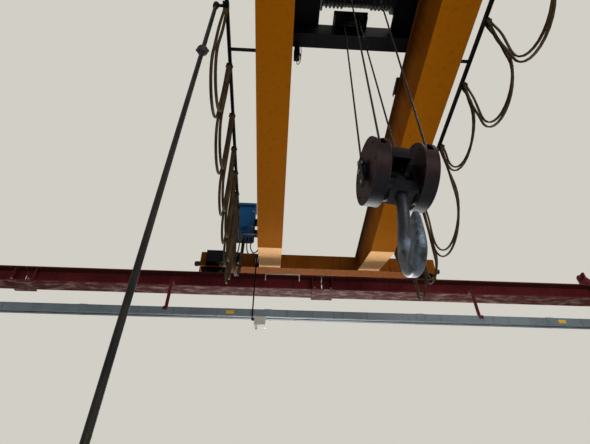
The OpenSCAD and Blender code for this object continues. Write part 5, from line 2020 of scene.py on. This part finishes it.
@dataclass
class Studio:
    """Camera at the photograph's viewpoint, pale floor and soft light.

    Attributes:
        eye: where the camera is.
        yaw: how far it is turned from the girders' line, in degrees.
        pitch: how far it looks up, in degrees.
        focus: its focal length in millimetres.
        sensor: its sensor's width in millimetres.
        floor_z: the height of the floor.
        floor_half: half the floor's side.
        floor_glow: how bright the floor is to the camera by itself.
        lamps: the lamps.
    """

    eye: Point = (-0.946, -7.40, -4.935)
    yaw: float = 3.17
    pitch: float = 42.85
    focus: float = 27.17
    sensor: float = 36.0
    floor_z: float = -6.535
    floor_half: float = 40.0
    floor_glow: float = 0.3
    lamps: tuple[Lamp, ...] = (
        Lamp("key", (7, -4, 10), (0, -5, 0), 1200.0, 9.0),
        Lamp("back", (2, 14, 2.5), (0, -4, 0), 1300.0, 10.0),
        Lamp("low_back", (0, 12, -3.0), (0, -1, 0.8), 480.0, 6.0, 56.0),
        Lamp("fill", (7, -20, -1.5), (0, -5, 0.5), 380.0, 8.0, 80.0),
    )

    def camera(self) -> None:
        """Set the camera at the photograph's viewpoint."""
        yaw, pitch = math.radians(self.yaw), math.radians(self.pitch)
        level = math.cos(pitch)
        ahead = Vector((math.sin(yaw) * level, math.cos(yaw) * level, math.sin(pitch)))
        right = Vector((math.cos(yaw), -math.sin(yaw), 0))
        up = right.cross(ahead)
        data = bpy.data.cameras.new("camera")
        data.lens, data.sensor_width = self.focus, self.sensor
        data.clip_end = 200.0
        camera = bpy.data.objects.new("camera", data)
        aim = Matrix((right, up, -ahead)).transposed().to_4x4()
        camera.matrix_world = Matrix.Translation(Vector(self.eye)) @ aim
        bpy.context.scene.collection.objects.link(camera)
        bpy.context.scene.camera = camera

    def build(self) -> None:
        """Lay the floor, hang the lamps and set the world."""
        form = Form()
        s = self.floor_half
        corners = [(x, y, self.floor_z) for x, y in ((-s, -s), (s, -s), (s, s), (-s, s))]
        form.mesh.faces.new([form.mesh.verts.new(corner) for corner in corners])
        data = bpy.data.meshes.new("floor")
        form.mesh.to_mesh(data)
        floor = bpy.data.objects.new("floor", data)
        bpy.context.scene.collection.objects.link(floor)
        g = Graph("pale_floor")
        pale = linear("#d6d4ce")
        # The floor looks pale to the camera without lighting the crane
        glow = g.maths("MULTIPLY", g.seen(), self.floor_glow)
        g.feed(g.shader, {"Base Color": pale, "Roughness": 0.9})
        g.feed(g.shader, {"Emission Color": pale, "Emission Strength": glow})
        data.materials.append(g.material)
        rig.stage(floor)
        for lamp in self.lamps:
            lamp.hang()
        # The world is pale behind the crane and in its gloss, and lights it more dimly than it looks
        world = bpy.data.worlds.new("pale_surround")
        world.use_nodes = True
        bpy.context.scene.world = world
        sky = Tree(world.node_tree)
        colour = sky.over((0.34, 0.34, 0.35, 1.0), linear("#d2cfc6"), sky.seen())
        sky.feed(sky.tree.nodes["Background"], {"Color": colour})


LEFT_FESTOON = Festoon(
    side="left",
    track_x=-1.579,
    towed="pendant",
    stations=(-2.35, -2.65, -3.07, -3.51, -4.05, -4.74, -5.44),
    drops=(1.50, 1.48, 1.45, 1.42, 1.35, 1.30),
    lead=(
        (-1.5525, -1.075, 0.3947), (-1.5525, -1.075, 0.330), (-1.555, -1.080, 0.200),
        (-1.560, -1.120, -0.100), (-1.566, -1.250, -0.420), (-1.572, -1.500, -0.680),
        (-1.576, -1.750, -0.760), (-1.579, -2.000, -0.700), (-1.579, -2.200, -0.520),
        (-1.579, -2.300, -0.250), (-1.579, -2.326, -0.070), (-1.579, -2.326, -0.0053),
    ),
)
RIGHT_FESTOON = Festoon(
    side="right",
    track_x=1.289,
    towed="trolley",
    stations=(-1.65, -2.15, -2.65, -3.70, -4.64, -5.42, -6.20),
    drops=(1.25, 1.30, 1.35, 0.78, 1.12, 1.20),
    lead=(
        (1.230, -1.260, 0.1547), (1.230, -1.260, 0.090), (1.232, -1.264, 0.0), (1.240, -1.285, -0.200),
        (1.254, -1.350, -0.380), (1.268, -1.455, -0.440), (1.280, -1.560, -0.370), (1.288, -1.612, -0.200),
        (1.289, -1.626, -0.070), (1.289, -1.626, -0.0053),
    ),
)


def main() -> None:
    """Build the scene in order and report each piece."""
    logging.basicConfig(level=logging.INFO, format="%(message)s")
    bpy.context.scene.view_settings.view_transform = "Standard"
    studio = Studio()
    studio.camera()
    FINISHES.dress_nodes()
    for part in (
        LEFT_FESTOON, RIGHT_FESTOON, Supply(), Pendant(), HoistRopes(), HookBlock(), Runway(), PowerLine(),
        Girders(), Carriages(), Cabinet(), Hoist(), TravelSwitch(), studio,
    ):
        LOG.info("Now %s", type(part).__name__)
        part.build()
    with open("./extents.json", "w") as out:
        json.dump({"cad": [list(v) for v in CAD_BOX], "visual": [list(v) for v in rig.bounds()]}, out)


if __name__ == "__main__":
    main()
